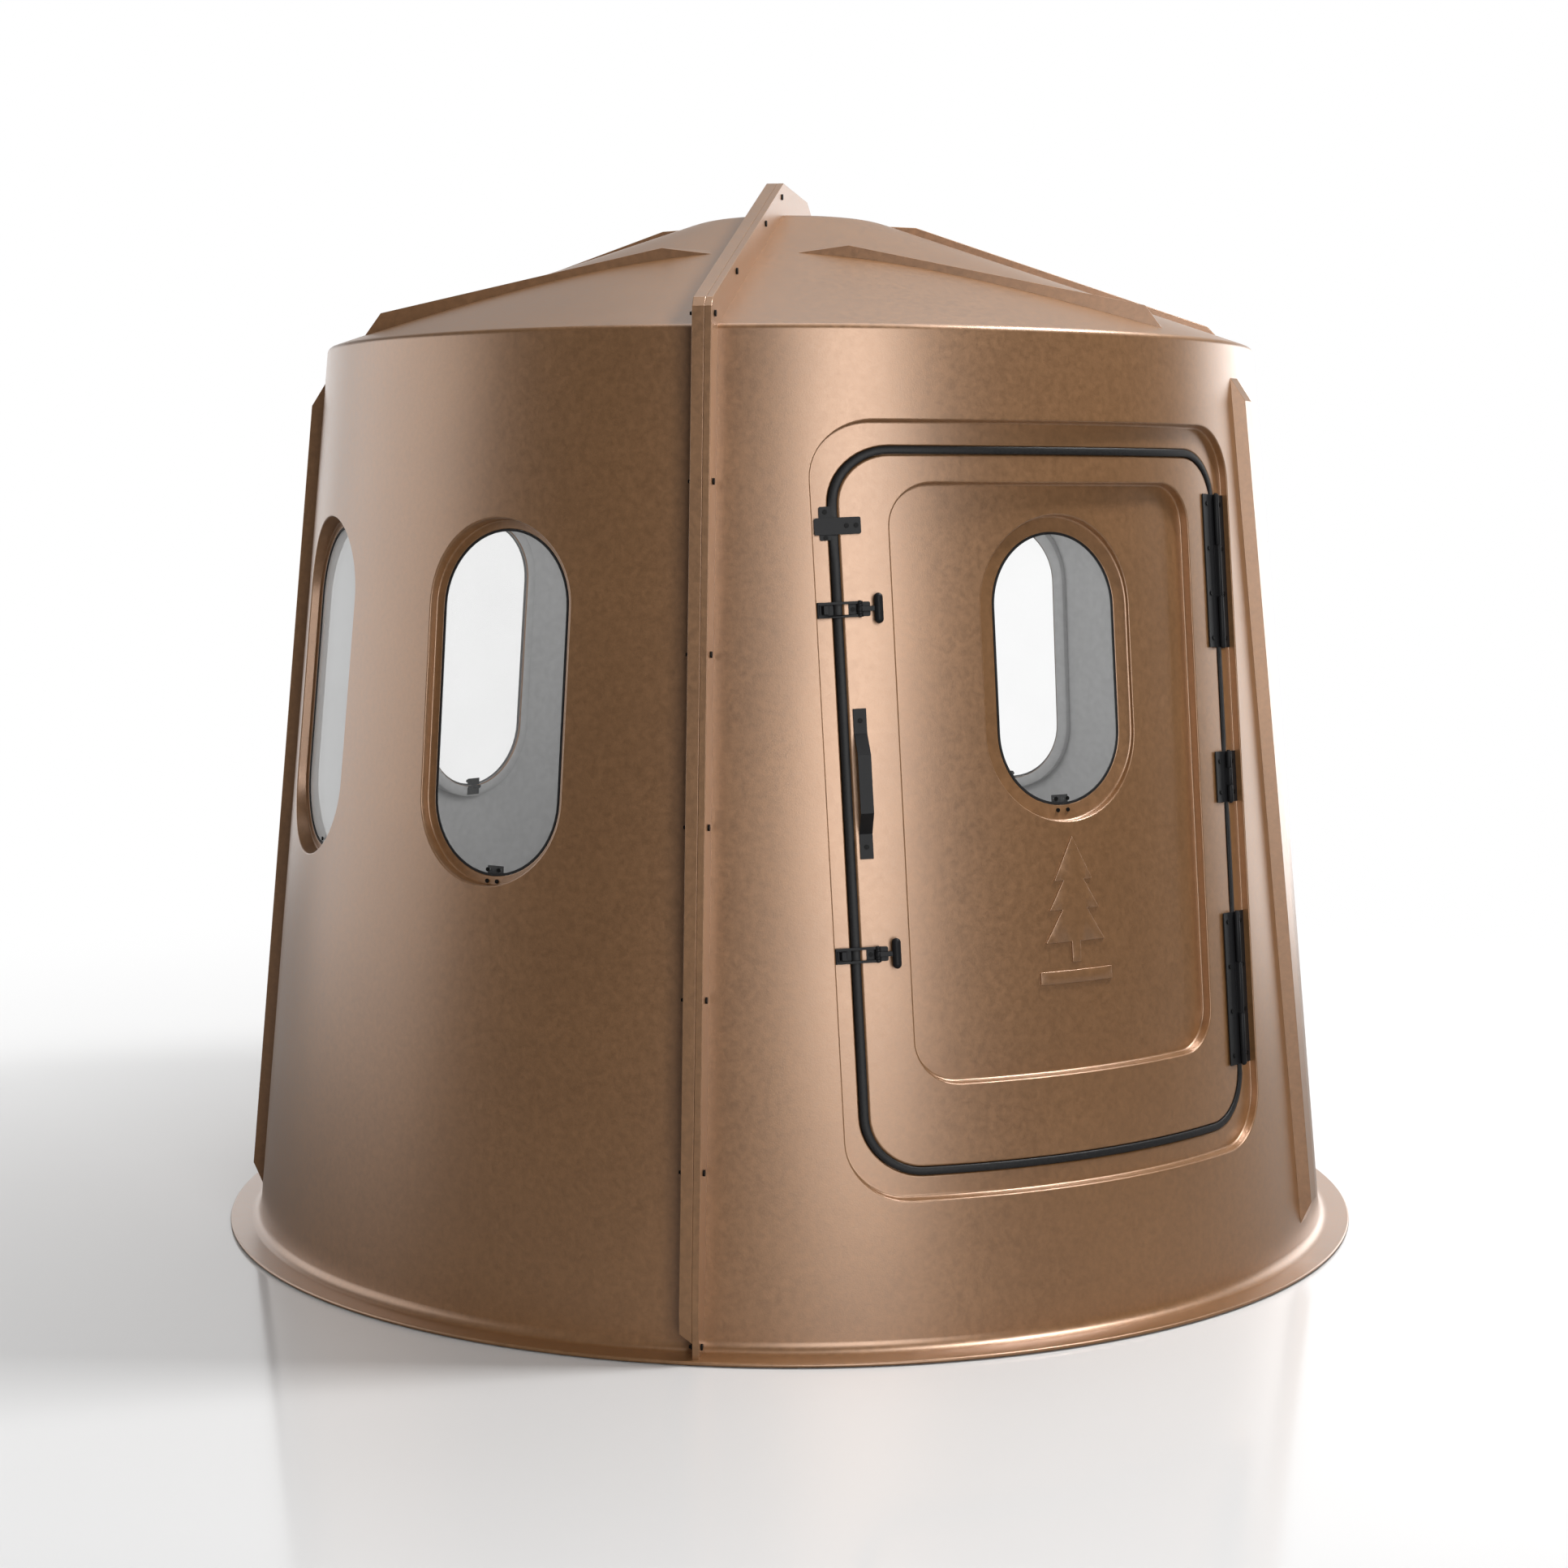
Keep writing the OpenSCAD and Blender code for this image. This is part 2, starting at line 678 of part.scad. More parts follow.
module latch_bracket(z) {
    color(DARK) on_edge(-1, z) difference() {
        union() {
            round_plate(18, 54, 12, base_n, 3);
            for (y = [-8.2, 4.4]) translate([latch_pin_x, y, 0]) {
                translate([-5, 0, base_n]) cube([10, 3.8, latch_pin_n - base_n]);
                translate([0, 0, latch_pin_n]) rotate([-90, 0, 0]) cylinder(h = 3.8, r = 5, $fn = 48);
            }
        }
        latch_pin_bore(40);
    }
}

module latch_pin_bore(length) {
    translate([latch_pin_x, -length / 2, latch_pin_n]) rotate([-90, 0, 0])
        cylinder(h = length, r = latch_pin_r + 0.05, $fn = 48);
}

module latch_pin(z) {
    color(DARK) on_edge(-1, z) translate([latch_pin_x, -14, latch_pin_n]) rotate([-90, 0, 0])
        cylinder(h = 28, r = latch_pin_r, $fn = 48);
}

// Loop: two arms from the pin, joined beyond the catch by a round bar
module latch_loop(z) {
    arm_w = arm_y[1] - arm_y[0];
    color(DARK) on_edge(-1, z) difference() {
        union() {
            for (y = [-arm_y[1], arm_y[0]]) {
                translate([loop_bar_x, y, latch_pin_n - loop_bar_r])
                    cube([latch_pin_x - loop_bar_x, arm_w, 2 * loop_bar_r]);
                translate([latch_pin_x, y, latch_pin_n]) rotate([-90, 0, 0])
                    cylinder(h = arm_w, r = 5, $fn = 48);
            }
            translate([loop_bar_x, -arm_y[1], latch_pin_n]) rotate([-90, 0, 0])
                cylinder(h = 2 * arm_y[1], r = loop_bar_r, $fn = 48);
        }
        latch_pin_bore(40);
    }
}

// T-handle: hub on the pin, a neck and a round crossbar
module latch_handle(z) {
    color(DARK) on_edge(-1, z) difference() {
        union() {
            translate([latch_pin_x, -4, latch_pin_n]) rotate([-90, 0, 0]) cylinder(h = 8, r = 5.4, $fn = 48);
            translate([latch_pin_x, -4, latch_pin_n - 3]) cube([30, 8, 7]);
            translate([67, -18, latch_pin_n + 1]) rotate([-90, 0, 0]) cylinder(h = 36, r = 7.5, $fn = 48);
            for (y = [-18, 18]) translate([67, y, latch_pin_n + 1]) sphere(r = 7.5, $fn = 48);
        }
        latch_pin_bore(40);
    }
}

module head(x, y, top) {
    translate([x, y, top]) cylinder(h = 1.8, r = 4, $fn = 24);
}

module frame_latch_screws() {
    color(DARK) {
        on_edge(-1, strike_z) for (y = [-24, 19]) head(strike_x, strike_y + y, base_n + 3);
        for (z = latch_z) on_edge(-1, z) head(-35.3, 0, base_n + 3);
    }
}

// Overlap bar, latch brackets and pull handle
module door_latch_screws() {
    color(DARK) {
        on_edge(-1, strike_z) for (x = [21, 37]) head(x, 0, base_n + 6.6);
        for (z = latch_z) on_edge(-1, z) head(24.5, 0, base_n + 3);
        on_edge(-1, handle_z) for (y = [-1, 1]) head(handle_x, y * (handle_l / 2 - 20), base_n + handle_t);
    }
}

handle_x = 27;
handle_w = 22;
handle_t = 4;
handle_foot = 44;
handle_run = 34;

module pull_handle() {
    h = handle_l / 2;
    bend = h - handle_foot;
    grip = bend - handle_run;
    color(DARK) on_edge(-1, handle_z) translate([handle_x - handle_w / 2, 0, base_n])
        rotate([90, 0, 90]) linear_extrude(handle_w)
            polygon([[-h, 0], [-bend, 0], [-grip, handle_rise], [grip, handle_rise], [bend, 0], [h, 0],
                     [h, handle_t], [bend + 2, handle_t], [grip + 2, handle_rise + handle_t],
                     [-grip - 2, handle_rise + handle_t], [-bend - 2, handle_t], [-h, handle_t]]);
}

// ---- Window nodes ----
wall_windows = concat(left_windows, right_windows);

module at_window(i) { at_wall(wall_windows[i], window_z) children(); }
module at_door_window() { at_wall(door_phi, door_window_z, panel_front) children(); }

left_shell();
right_shell();
seam_bolts();
seam_nuts();
door_panel();
door_gasket();
door_emblem();
frame_leaf(0, long_hinge);  // door_hinge_top_frame_leaf
door_leaf(0, long_hinge);  // door_hinge_top_door_leaf
frame_leaf(1, short_hinge);  // door_hinge_middle_frame_leaf
door_leaf(1, short_hinge);  // door_hinge_middle_door_leaf
frame_leaf(2, long_hinge);  // door_hinge_bottom_frame_leaf
door_leaf(2, long_hinge);  // door_hinge_bottom_door_leaf
door_hinge_pins();
leaf_screw_set(1);  // hinge_frame_screws
leaf_screw_set(-1);  // hinge_door_screws
strike_plate();
overlap_bar();
latch_catch(latch_z[0]);  // latch_top_catch
latch_bracket(latch_z[0]);  // latch_top_bracket
latch_pin(latch_z[0]);  // latch_top_pin
latch_loop(latch_z[0]);  // latch_top_loop
latch_handle(latch_z[0]);  // latch_top_handle
latch_catch(latch_z[1]);  // latch_bottom_catch
latch_bracket(latch_z[1]);  // latch_bottom_bracket
latch_pin(latch_z[1]);  // latch_bottom_pin
latch_loop(latch_z[1]);  // latch_bottom_loop
latch_handle(latch_z[1]);  // latch_bottom_handle
frame_latch_screws();
door_latch_screws();
pull_handle();
color(RUBBER) for (i = [0:5]) at_window(i)  // wall_window_seals
        window_seal(window_r, window_straight, window_ledge, window_depth);
for (i = [0:5]) at_window(i) fixed_leaf(window_r, window_straight, window_ledge, window_depth);  // wall_window_fixed_leaves
for (i = [0:5]) at_window(i) window_pin(window_r, window_straight, window_ledge, window_depth);  // wall_window_pins
for (i = [0:5]) at_window(i) fixed_screws(window_r, window_straight, window_ledge, window_depth);  // wall_window_fixed_screws
color(RUBBER) at_door_window()  // door_window_seal
        window_seal(door_window_r, door_window_straight, door_window_ledge, door_window_depth);
at_door_window() fixed_leaf(door_window_r, door_window_straight, door_window_ledge, door_window_depth);  // door_window_fixed_leaf
at_door_window() window_pin(door_window_r, door_window_straight, door_window_ledge, door_window_depth);  // door_window_pin
at_door_window() fixed_screws(door_window_r, door_window_straight, door_window_ledge, door_window_depth);  // door_window_fixed_screws
at_door_window() pane(door_window_r, door_window_straight, door_window_ledge, door_window_depth);  // door_window_pane
at_door_window() pane_leaf(door_window_r, door_window_straight, door_window_ledge, door_window_depth);  // door_window_pane_leaf
at_door_window() pane_screws(door_window_r, door_window_straight, door_window_ledge, door_window_depth);  // door_window_pane_screws
for (i = [0:5]) {
    at_window(i) pane(window_r, window_straight, window_ledge, window_depth);
    at_window(i) pane_leaf(window_r, window_straight, window_ledge, window_depth);
    at_window(i) pane_screws(window_r, window_straight, window_ledge, window_depth);
}
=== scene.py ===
import json
import math
import bpy
import numpy as np
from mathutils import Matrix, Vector
from mathutils.geometry import delaunay_2d_cdt


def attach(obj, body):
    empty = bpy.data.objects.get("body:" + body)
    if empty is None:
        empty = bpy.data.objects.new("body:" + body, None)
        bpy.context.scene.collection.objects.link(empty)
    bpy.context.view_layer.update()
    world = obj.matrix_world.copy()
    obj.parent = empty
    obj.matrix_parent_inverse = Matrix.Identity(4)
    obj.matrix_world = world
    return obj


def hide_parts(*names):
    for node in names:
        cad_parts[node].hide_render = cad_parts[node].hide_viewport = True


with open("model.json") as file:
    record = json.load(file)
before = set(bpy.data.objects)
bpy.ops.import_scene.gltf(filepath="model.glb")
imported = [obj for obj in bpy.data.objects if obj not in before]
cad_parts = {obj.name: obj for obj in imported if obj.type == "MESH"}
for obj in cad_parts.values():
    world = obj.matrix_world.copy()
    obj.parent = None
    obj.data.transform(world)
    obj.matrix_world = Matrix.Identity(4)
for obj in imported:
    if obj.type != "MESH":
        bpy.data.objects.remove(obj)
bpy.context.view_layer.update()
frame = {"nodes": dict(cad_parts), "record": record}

# ---------------------------------------------------------------- sizes, in metres, as in the CAD part
WALL_H = 1.700
FLOOR_R = 1.068
RIM_R = 0.905
CROWN_R = 0.166
ROOF_RISE = 0.256
WALL_T = 0.008
FLANGE_W = 0.057
BRIM_GAP = 0.0003             # keeps the round brim inside the box of the CAD's faceted one
SLOPE = (FLOOR_R - RIM_R) / WALL_H
ROOF_SLOPE = ROOF_RISE / (RIM_R - CROWN_R)
CROWN_Z = WALL_H + ROOF_RISE
LEAN = math.atan(SLOPE)
FIN_DEPTH = 0.058
DOOR_PHI = math.radians(38.6)
PHI_STEP = math.radians(1.5)
COLUMNS = 120                 # columns of PHI_STEP in one half


def cone_r(z):
    return FLOOR_R - SLOPE * z


def roof_z(r):
    return CROWN_Z - ROOF_SLOPE * max(0.0, r - CROWN_R)


# ---------------------------------------------------------------- mesh helper
class Skin:
    """Collects points, faces and normals. A point given twice is stored once."""

    def __init__(self):
        self.points = []
        self.normals = []
        self.faces = []
        self.slots = []
        self.found = {}

    def point(self, p, n=None):
        key = (round(p[0], 6), round(p[1], 6), round(p[2], 6))
        if key not in self.found:
            self.found[key] = len(self.points)
            self.points.append(tuple(p))
            self.normals.append(tuple(n) if n is not None else (0.0, 0.0, 0.0))
        return self.found[key]

    def face(self, corners, slot=0):
        kept = [c for i, c in enumerate(corners) if c != corners[i - 1]]
        if len(set(kept)) > 2:
            self.faces.append(kept)
            self.slots.append(slot)

    def rows(self, rows, closed=False, slot=0):
        """Quads between neighbouring rows of point indices."""
        for a, b in zip(rows, rows[1:]):
            n = len(a)
            for i in range(n if closed else n - 1):
                j = (i + 1) % n
                self.face([a[i], a[j], b[j], b[i]], slot)

    def build(self, name, materials):
        mesh = bpy.data.meshes.new(name)
        mesh.from_pydata(self.points, [], self.faces)
        for m in materials:
            mesh.materials.append(m)
        for polygon, s in zip(mesh.polygons, self.slots):
            polygon.material_index = s
        mesh.shade_smooth()
        mesh.normals_split_custom_set_from_vertices(self.normals)
        mesh.update()
        obj = bpy.data.objects.new(name, mesh)
        bpy.context.scene.collection.objects.link(obj)
        return obj


# ---------------------------------------------------------------- shell wall: points, normals, outlines
def wall_point(phi, z, depth=0.0):
    r = cone_r(z) - depth
    return (r * math.sin(phi), -r * math.cos(phi), z)


def wall_normal(phi):
    c = math.cos(LEAN)
    return (c * math.sin(phi), -c * math.cos(phi), math.sin(LEAN))


DOOR_X = Vector((math.cos(DOOR_PHI), math.sin(DOOR_PHI), 0.0))
DOOR_N = Vector((math.sin(DOOR_PHI), -math.cos(DOOR_PHI), 0.0))


def door_point(x, z, depth):
    """A point at chord distance x from the door's middle, at a depth below the outside of the wall."""
    r = cone_r(z) - depth
    p = DOOR_X * x + DOOR_N * math.sqrt(r * r - x * x)
    return (p.x, p.y, z)


def door_phi(x, z, depth=0.0):
    return DOOR_PHI + math.asin(x / (cone_r(z) - depth))


CORNER_STEPS = 12             # points round each corner of a door outline
ACROSS_STEPS = 24             # along its top and its bottom
UPRIGHT_STEPS = 34            # along each of its sides


def rounded_rectangle(half, low, high, corner, out=0.0):
    """A closed outline moved outwards by out. Its number of points is always the same."""
    half, low, high, corner = half + out, low - out, high + out, corner + out
    points = []
    centres = ((half - corner, high - corner, 0.0), (corner - half, high - corner, 90.0),
               (corner - half, low + corner, 180.0), (half - corner, low + corner, 270.0))
    for i, (cx, cz, start) in enumerate(centres):
        for k in range(CORNER_STEPS + 1):
            a = math.radians(start + 90.0 * k / CORNER_STEPS)
            points.append((cx + corner * math.cos(a), cz + corner * math.sin(a)))
        nx, nz, nstart = centres[(i + 1) % 4]
        a = math.radians(nstart)
        end = (nx + corner * math.cos(a), nz + corner * math.sin(a))
        begin = points[-1]
        steps = ACROSS_STEPS if i % 2 == 0 else UPRIGHT_STEPS
        for k in range(1, steps):
            t = k / steps
            points.append((begin[0] + (end[0] - begin[0]) * t, begin[1] + (end[1] - begin[1]) * t))
    return points


PILL_AROUND = 32              # points round each end of a window outline
PILL_ALONG = 18               # along each of its sides


def stadium(radius, straight, out=0.0):
    """A closed pill outline with its long axis upright, moved outwards by out."""
    r = radius + out
    points = []
    for centre, start in ((straight, 0.0), (-straight, 180.0)):
        for k in range(PILL_AROUND + 1):
            a = math.radians(start + 180.0 * k / PILL_AROUND)
            points.append((r * math.cos(a), centre + r * math.sin(a)))
        side = -1.0 if centre > 0 else 1.0
        for k in range(1, PILL_ALONG):
            points.append((side * r, centre * (1 - 2.0 * k / PILL_ALONG)))
    return points


class Window:
    """A window pocket and its own axes: X across, Y up the slope and Z outwards.

    Its origin lies on the wall's cone, or sunk below it where the pocket is in the door's inner panel.
    """

    def __init__(self, phi, z, radius, straight, ledge, depth, sunk=0.0):
        self.radius, self.straight, self.ledge, self.depth = radius, straight, ledge, depth
        self.sunk = sunk
        c, s = math.cos(LEAN), math.sin(LEAN)
        self.x = Vector((math.cos(phi), math.sin(phi), 0.0))
        out = Vector((math.sin(phi), -math.cos(phi), 0.0))
        self.y = Vector((-out.x * s, -out.y * s, c))
        self.z = Vector((out.x * c, out.y * c, s))
        self.origin = out * (cone_r(z) - sunk) + Vector((0, 0, z))

    def place(self, x, y, z):
        return self.origin + self.x * x + self.y * y + self.z * z

    def on_cone(self, x, y, below=0.0):
        """Height z, in the window's axes, of the cone over (x, y), at a depth below its surface."""
        z = 0.0
        for _ in range(12):
            p = self.place(x, y, z)
            z -= (math.hypot(p.x, p.y) - (cone_r(p.z) - self.sunk - below)) / math.cos(LEAN)
        return z


LIP = 0.003                   # rounded lip and hollow foot of a window pocket
# the lip's rounding, as shares of LIP (outwards, downwards)
LIP_ROUND = ((0.62, 0.08), (0.30, 0.29), (0.08, 0.62), (0.0, 1.0))
# the ledge's inner edge, as (outwards, height over the ledge)
LEDGE_EDGE = ((0.0022, 0.0), (0.0010, -0.0003), (0.0003, -0.0010), (0.0, -0.0022),
              (0.0, -WALL_T + 0.0012), (0.0012, -WALL_T))


def window_rings(skin, w):
    """The pocket, its lip, ledge and the boss behind it. Returns the outline that meets the wall."""
    def ring(out, height):
        pill = stadium(w.radius, w.straight, out)
        return [skin.point(w.place(x, y, height(i))) for i, (x, y) in enumerate(pill)]

    def cone_heights(out, below=0.0):
        return [w.on_cone(x, y, below) for x, y in stadium(w.radius, w.straight, out)]

    outline = stadium(w.radius, w.straight, LIP)
    mouth = [tuple(w.place(x, y, z)) for (x, y), z in zip(outline, cone_heights(LIP))]
    floor = -w.depth
    room = [z - floor for z in cone_heights(0.0)]
    soft = [min(LIP, 0.4 * r) for r in room]
    rows = [[skin.point(p, wall_normal(math.atan2(p[0], -p[1]))) for p in mouth]]
    for out, down in LIP_ROUND:
        cone = cone_heights(LIP * out)
        rows.append(ring(LIP * out, lambda i: cone[i] - soft[i] * down))
    for out, up in ((0.0, 1.0), (-0.0003, 0.62), (-0.0012, 0.29)):
        rows.append(ring(out, lambda i: floor + soft[i] * up))
    rows.append(ring(-0.004, lambda i: floor))
    for out, height in LEDGE_EDGE:
        rows.append(ring(out - w.ledge, lambda i: floor + height))
    skin.rows(rows, closed=True)
    behind = cone_heights(WALL_T, WALL_T)
    back = [rows[-1], ring(WALL_T - 0.0012, lambda i: floor - WALL_T),
            ring(WALL_T, lambda i: floor - WALL_T + 0.0012), ring(WALL_T, lambda i: behind[i] + 0.003)]
    skin.rows(back, closed=True, slot=1)
    return mouth


# ---------------------------------------------------------------- triangulated wall with holes and steps
def inside_outline(p, outline):
    """Whether a flat point lies within a closed outline, by the crossings of a level line."""
    x, y = p
    within = False
    for i, (x1, y1) in enumerate(outline):
        x0, y0 = outline[i - 1]
        if (y0 > y) != (y1 > y) and x < (x1 - x0) * (y - y0) / (y1 - y0) + x0:
            within = not within
    return within


class Sheet:
    """A flat map of points, with loops that its triangles follow.

    Each flat point has its space entry: place and normal, and where given the place on the back.
    """

    def __init__(self):
        self.flat, self.space, self.edges, self.holes = [], [], [], []

    def add_loop(self, flat, space, hole=False):
        first = len(self.flat)
        self.flat += flat
        self.space += space
        n = len(flat)
        self.edges += [(first + i, first + (i + 1) % n) for i in range(n)]
        if hole:
            self.holes.append(flat)

    def add_points(self, entries):
        """Adds loose points, from (flat, space) pairs, that stay clear of every loop point."""
        loops = np.array(self.flat)
        for flat, space in entries:
            if np.min(np.sum((loops - flat) ** 2, axis=1)) >= CLEAR * CLEAR:
                self.flat.append(flat)
                self.space.append(space)

    def into(self, skin):
        """Adds the triangles to a skin: the outside, and the inside a wall thickness behind it."""
        result = delaunay_2d_cdt([Vector(f) for f in self.flat], self.edges, [], 0, 1e-7, True)
        coords, _, faces, source = result[:4]
        for face in faces:
            middle = ((coords[face[0]][0] + coords[face[1]][0] + coords[face[2]][0]) / 3,
                      (coords[face[0]][1] + coords[face[1]][1] + coords[face[2]][1]) / 3)
            if any(inside_outline(middle, h) for h in self.holes):
                continue
            corners, backs = [], []
            for i in face:
                if not source[i]:
                    break
                p, n, *back = self.space[source[i][0]]
                corners.append(skin.point(p, n))
                radius = math.hypot(p[0], p[1])
                k = (radius - WALL_T) / radius
                inward = None if n is None else (-n[0], -n[1], -n[2])
                backs.append(skin.point(back[0] if back else (p[0] * k, p[1] * k, p[2]), inward))
            if len(corners) == 3:
                skin.face(corners)
                skin.face(backs[::-1], 1)


WALL_LOW = 0.034              # the wall sheet ends here, above the foot's fillet
WALL_TOP = 1.684              # and here, below the roof's shoulder
WALL_ROWS = 30
FLAT_R = 0.98                 # the flat map of the wall is unrolled at this radius
CLEAR = 0.018                 # loose points of a sheet keep this far from its loops


def window_loop(sheet, w, skin, unroll):
    """Adds a window pocket to the skin, and its mouth to the sheet as a hole. Returns the flat outline."""
    mouth = window_rings(skin, w)
    flat = [unroll(p) for p in mouth]
    sheet.add_loop(flat, [(p, wall_normal(math.atan2(p[0], -p[1]))) for p in mouth], True)
    return flat


def wall_sheet(start, loops, windows, skin):
    """One half's wall between its foot and its rim. start is the azimuth of its first column."""
    sheet = Sheet()
    for flat, space, hole in loops:
        sheet.add_loop(flat, space, hole)
    for w in windows:
        window_loop(sheet, w, skin, lambda p: (math.atan2(p[0], -p[1]) * FLAT_R, p[2]))
    inner, border = [], []
    for i in range(COLUMNS + 1):
        phi = start + i * PHI_STEP
        for j in range(WALL_ROWS + 1):
            z = WALL_LOW + (WALL_TOP - WALL_LOW) * j / WALL_ROWS
            flat = (phi * FLAT_R, z)
            entry = (flat, (wall_point(phi, z), wall_normal(phi)))
            if i in (0, COLUMNS) or j in (0, WALL_ROWS):
                border.append(entry)
            elif not any(inside_outline(flat, loop[0]) for loop in loops):
                inner.append(entry)
    sheet.add_points(inner)
    sheet.flat += [flat for flat, _ in border]
    sheet.space += [space for _, space in border]
    sheet.into(skin)


def profile_rows(skin, start, profile, slot=0, flip=False):
    """Revolves a profile of (radius, height, outward slope angle) over one half.

    Faces look to the profile's left, or to its right with flip.
    """
    rows = []
    for r, z, a in profile:
        row = []
        for i in range(COLUMNS + 1):
            phi = start + i * PHI_STEP
            n = (math.cos(a) * math.sin(phi), -math.cos(a) * math.cos(phi), math.sin(a))
            row.append(skin.point((r * math.sin(phi), -r * math.cos(phi), z), n))
        rows.append(row)
    if flip:
        rows = rows[::-1]
    skin.rows(rows, slot=slot)


def arc(centre, radius, a0, a1, steps):
    """Profile points on an arc, whose outward slope angle turns from a0 to a1, in degrees.

    With a negative radius the arc is hollow: its outward slope points towards its centre.
    """
    made = []
    for i in range(steps + 1):
        a = math.radians(a0 + (a1 - a0) * i / steps)
        made.append((centre[0] + radius * math.cos(a), centre[1] + radius * math.sin(a), a))
    return made


LEAN_DEG = math.degrees(LEAN)
ROOF_DEG = 90.0 - math.degrees(math.atan(ROOF_SLOPE))
ROOF_ROWS = 12


def outer_foot():
    """Wall down into the flange: hollow fillet, flat brim, rounded edge, underside."""
    hollow = 0.020
    edge = 0.0035
    centre_z = WALL_T + hollow
    touch_z = centre_z - hollow * math.sin(LEAN)
    centre_r = cone_r(touch_z) + hollow * math.cos(LEAN)
    brim = FLOOR_R + FLANGE_W - BRIM_GAP
    made = [(cone_r(WALL_LOW), WALL_LOW, LEAN), (cone_r(touch_z + 0.001), touch_z + 0.001, LEAN)]
    made += arc((centre_r, centre_z), -hollow, LEAN_DEG, 90.0, 8)
    made += [((centre_r + brim) / 2, WALL_T, math.pi / 2)]
    made += arc((brim - edge, WALL_T - edge), edge, 90.0, -90.0, 10)
    made += [(brim - 0.006, 0.0, -math.pi / 2), (FLOOR_R - WALL_T, 0.0, -math.pi / 2)]
    return made


def inner_foot():
    return [(FLOOR_R - WALL_T, 0.0, math.pi + LEAN),
            (cone_r(WALL_LOW) - WALL_T, WALL_LOW, math.pi + LEAN)]


def roof_profile(depth):
    """Wall top, rounded shoulder, roof, softened crown, for the surface at a depth below the outside."""
    shoulder = 0.016 if depth else 0.012
    crown = 0.20
    top_z = CROWN_Z - depth
    rim_z = (top_z - ROOF_SLOPE * (FLOOR_R - depth - CROWN_R)) / (1 - ROOF_SLOPE * SLOPE)
    rim_r = FLOOR_R - depth - SLOPE * rim_z
    half_turn = math.radians((ROOF_DEG - LEAN_DEG) / 2)
    reach = shoulder * math.tan(half_turn)
    wall_z = rim_z - reach * math.cos(LEAN)
    wall_r = rim_r + reach * math.sin(LEAN)
    centre = (wall_r - shoulder * math.cos(LEAN), wall_z - shoulder * math.sin(LEAN))
    made = [(cone_r(WALL_TOP) - depth, WALL_TOP, LEAN)]
    made += arc(centre, shoulder, LEAN_DEG, ROOF_DEG, 8)
    run = crown * math.tan(math.radians(90.0 - ROOF_DEG) / 2)
    roof_angle = math.radians(ROOF_DEG)
    low_r = CROWN_R + run * math.sin(roof_angle)
    for k in range(1, ROOF_ROWS):
        r = rim_r + (low_r - rim_r) * (k / ROOF_ROWS)
        made.append((r, top_z - ROOF_SLOPE * (r - CROWN_R), roof_angle))
    made += arc((CROWN_R - run, top_z - crown), crown, ROOF_DEG, 90.0, 6)
    made += [(0.06, top_z, math.pi / 2), (0.0, top_z, math.pi / 2)]
    return made


def flipped(profile):
    return [(r, z, a + math.pi) for r, z, a in profile]


def half_strips(skin, start):
    """The foot and the roof of one half, outside and inside."""
    profile_rows(skin, start, outer_foot(), flip=True)
    profile_rows(skin, start, inner_foot(), slot=1, flip=True)
    profile_rows(skin, start, roof_profile(0.0))
    profile_rows(skin, start, flipped(roof_profile(WALL_T)), slot=1, flip=True)


# ---------------------------------------------------------------- doorway and door, stepped by outlines
# outlines as (half width, low end, high end, corner radius)
RECESS = (0.440, 0.253, 1.544, 0.100)
FRAME = (0.408, 0.291, 1.501, 0.099)
DOOR = (0.394, 0.305, 1.487, 0.085)
PANEL = (0.314, 0.439, 1.441, 0.075)
RECESS_DEPTH = 0.016
PANEL_DEPTH = 0.018


def door_rows(skin, shape, steps):
    """Rows of points round an outline, from steps of (out, depth, plain).

    A plain row has the wall's normal, and the others get theirs from their faces.
    """
    rows = []
    for out, depth, plain in steps:
        row = []
        for x, z in rounded_rectangle(*shape, out=out):
            normal = wall_normal(door_phi(x, z, depth)) if plain else None
            row.append(skin.point(door_point(x, z, depth), normal))
        rows.append(row)
    return rows


def door_loops(shape, steps, unroll):
    """Loops for a sheet, from steps of (out, depth, plain, back).

    back is the (out, depth) of the surface behind.
    """
    made = []
    for out, depth, plain, (back_out, back_depth) in steps:
        outline = rounded_rectangle(*shape, out=out)
        behind = rounded_rectangle(*shape, out=back_out)
        space = []
        for (x, z), (back_x, back_z) in zip(outline, behind):
            normal = wall_normal(door_phi(x, z, depth)) if plain else None
            space.append((door_point(x, z, depth), normal, door_point(back_x, back_z, back_depth)))
        made.append((unroll(outline), space))
    return made


def unrolled(outline):
    """An outline given by chord distance and height, on the wall's flat map."""
    return [(door_phi(x, z) * FLAT_R, z) for x, z in outline]


def step_down(start, depth):
    """A drafted step from one depth to a deeper one, with a rounded edge and a hollow foot."""
    profile = ((0.0030, 0.0, 0), (0.0010, 0.0004, 20), (0.0, 0.0014, 45), (-0.0005, 0.0035, 80),
               (-0.0025, depth - 0.0035, 80), (-0.0033, depth - 0.0014, 45), (-0.0048, depth - 0.0004, 20),
               (-0.0075, depth, 0))
    rows = []
    for out, d, tilt in profile:
        a = math.radians(tilt)
        back = (out + WALL_T * math.sin(a), start + d + WALL_T * math.cos(a))
        rows.append((out, start + d, tilt == 0, back))
    return rows


def right_loops():
    """The recess and the doorway in the right half's wall. The last loop is the doorway's hole."""
    d = RECESS_DEPTH
    back = (0.008, d + WALL_T)
    edge = ((0.0035, d, True, back), (0.0014, d + 0.0006, False, back), (0.0003, d + 0.0022, False, back))
    made = door_loops(RECESS, step_down(0.0, d), unrolled) + door_loops(FRAME, edge, unrolled)
    return [(flat, space, i == len(made) - 1) for i, (flat, space) in enumerate(made)]


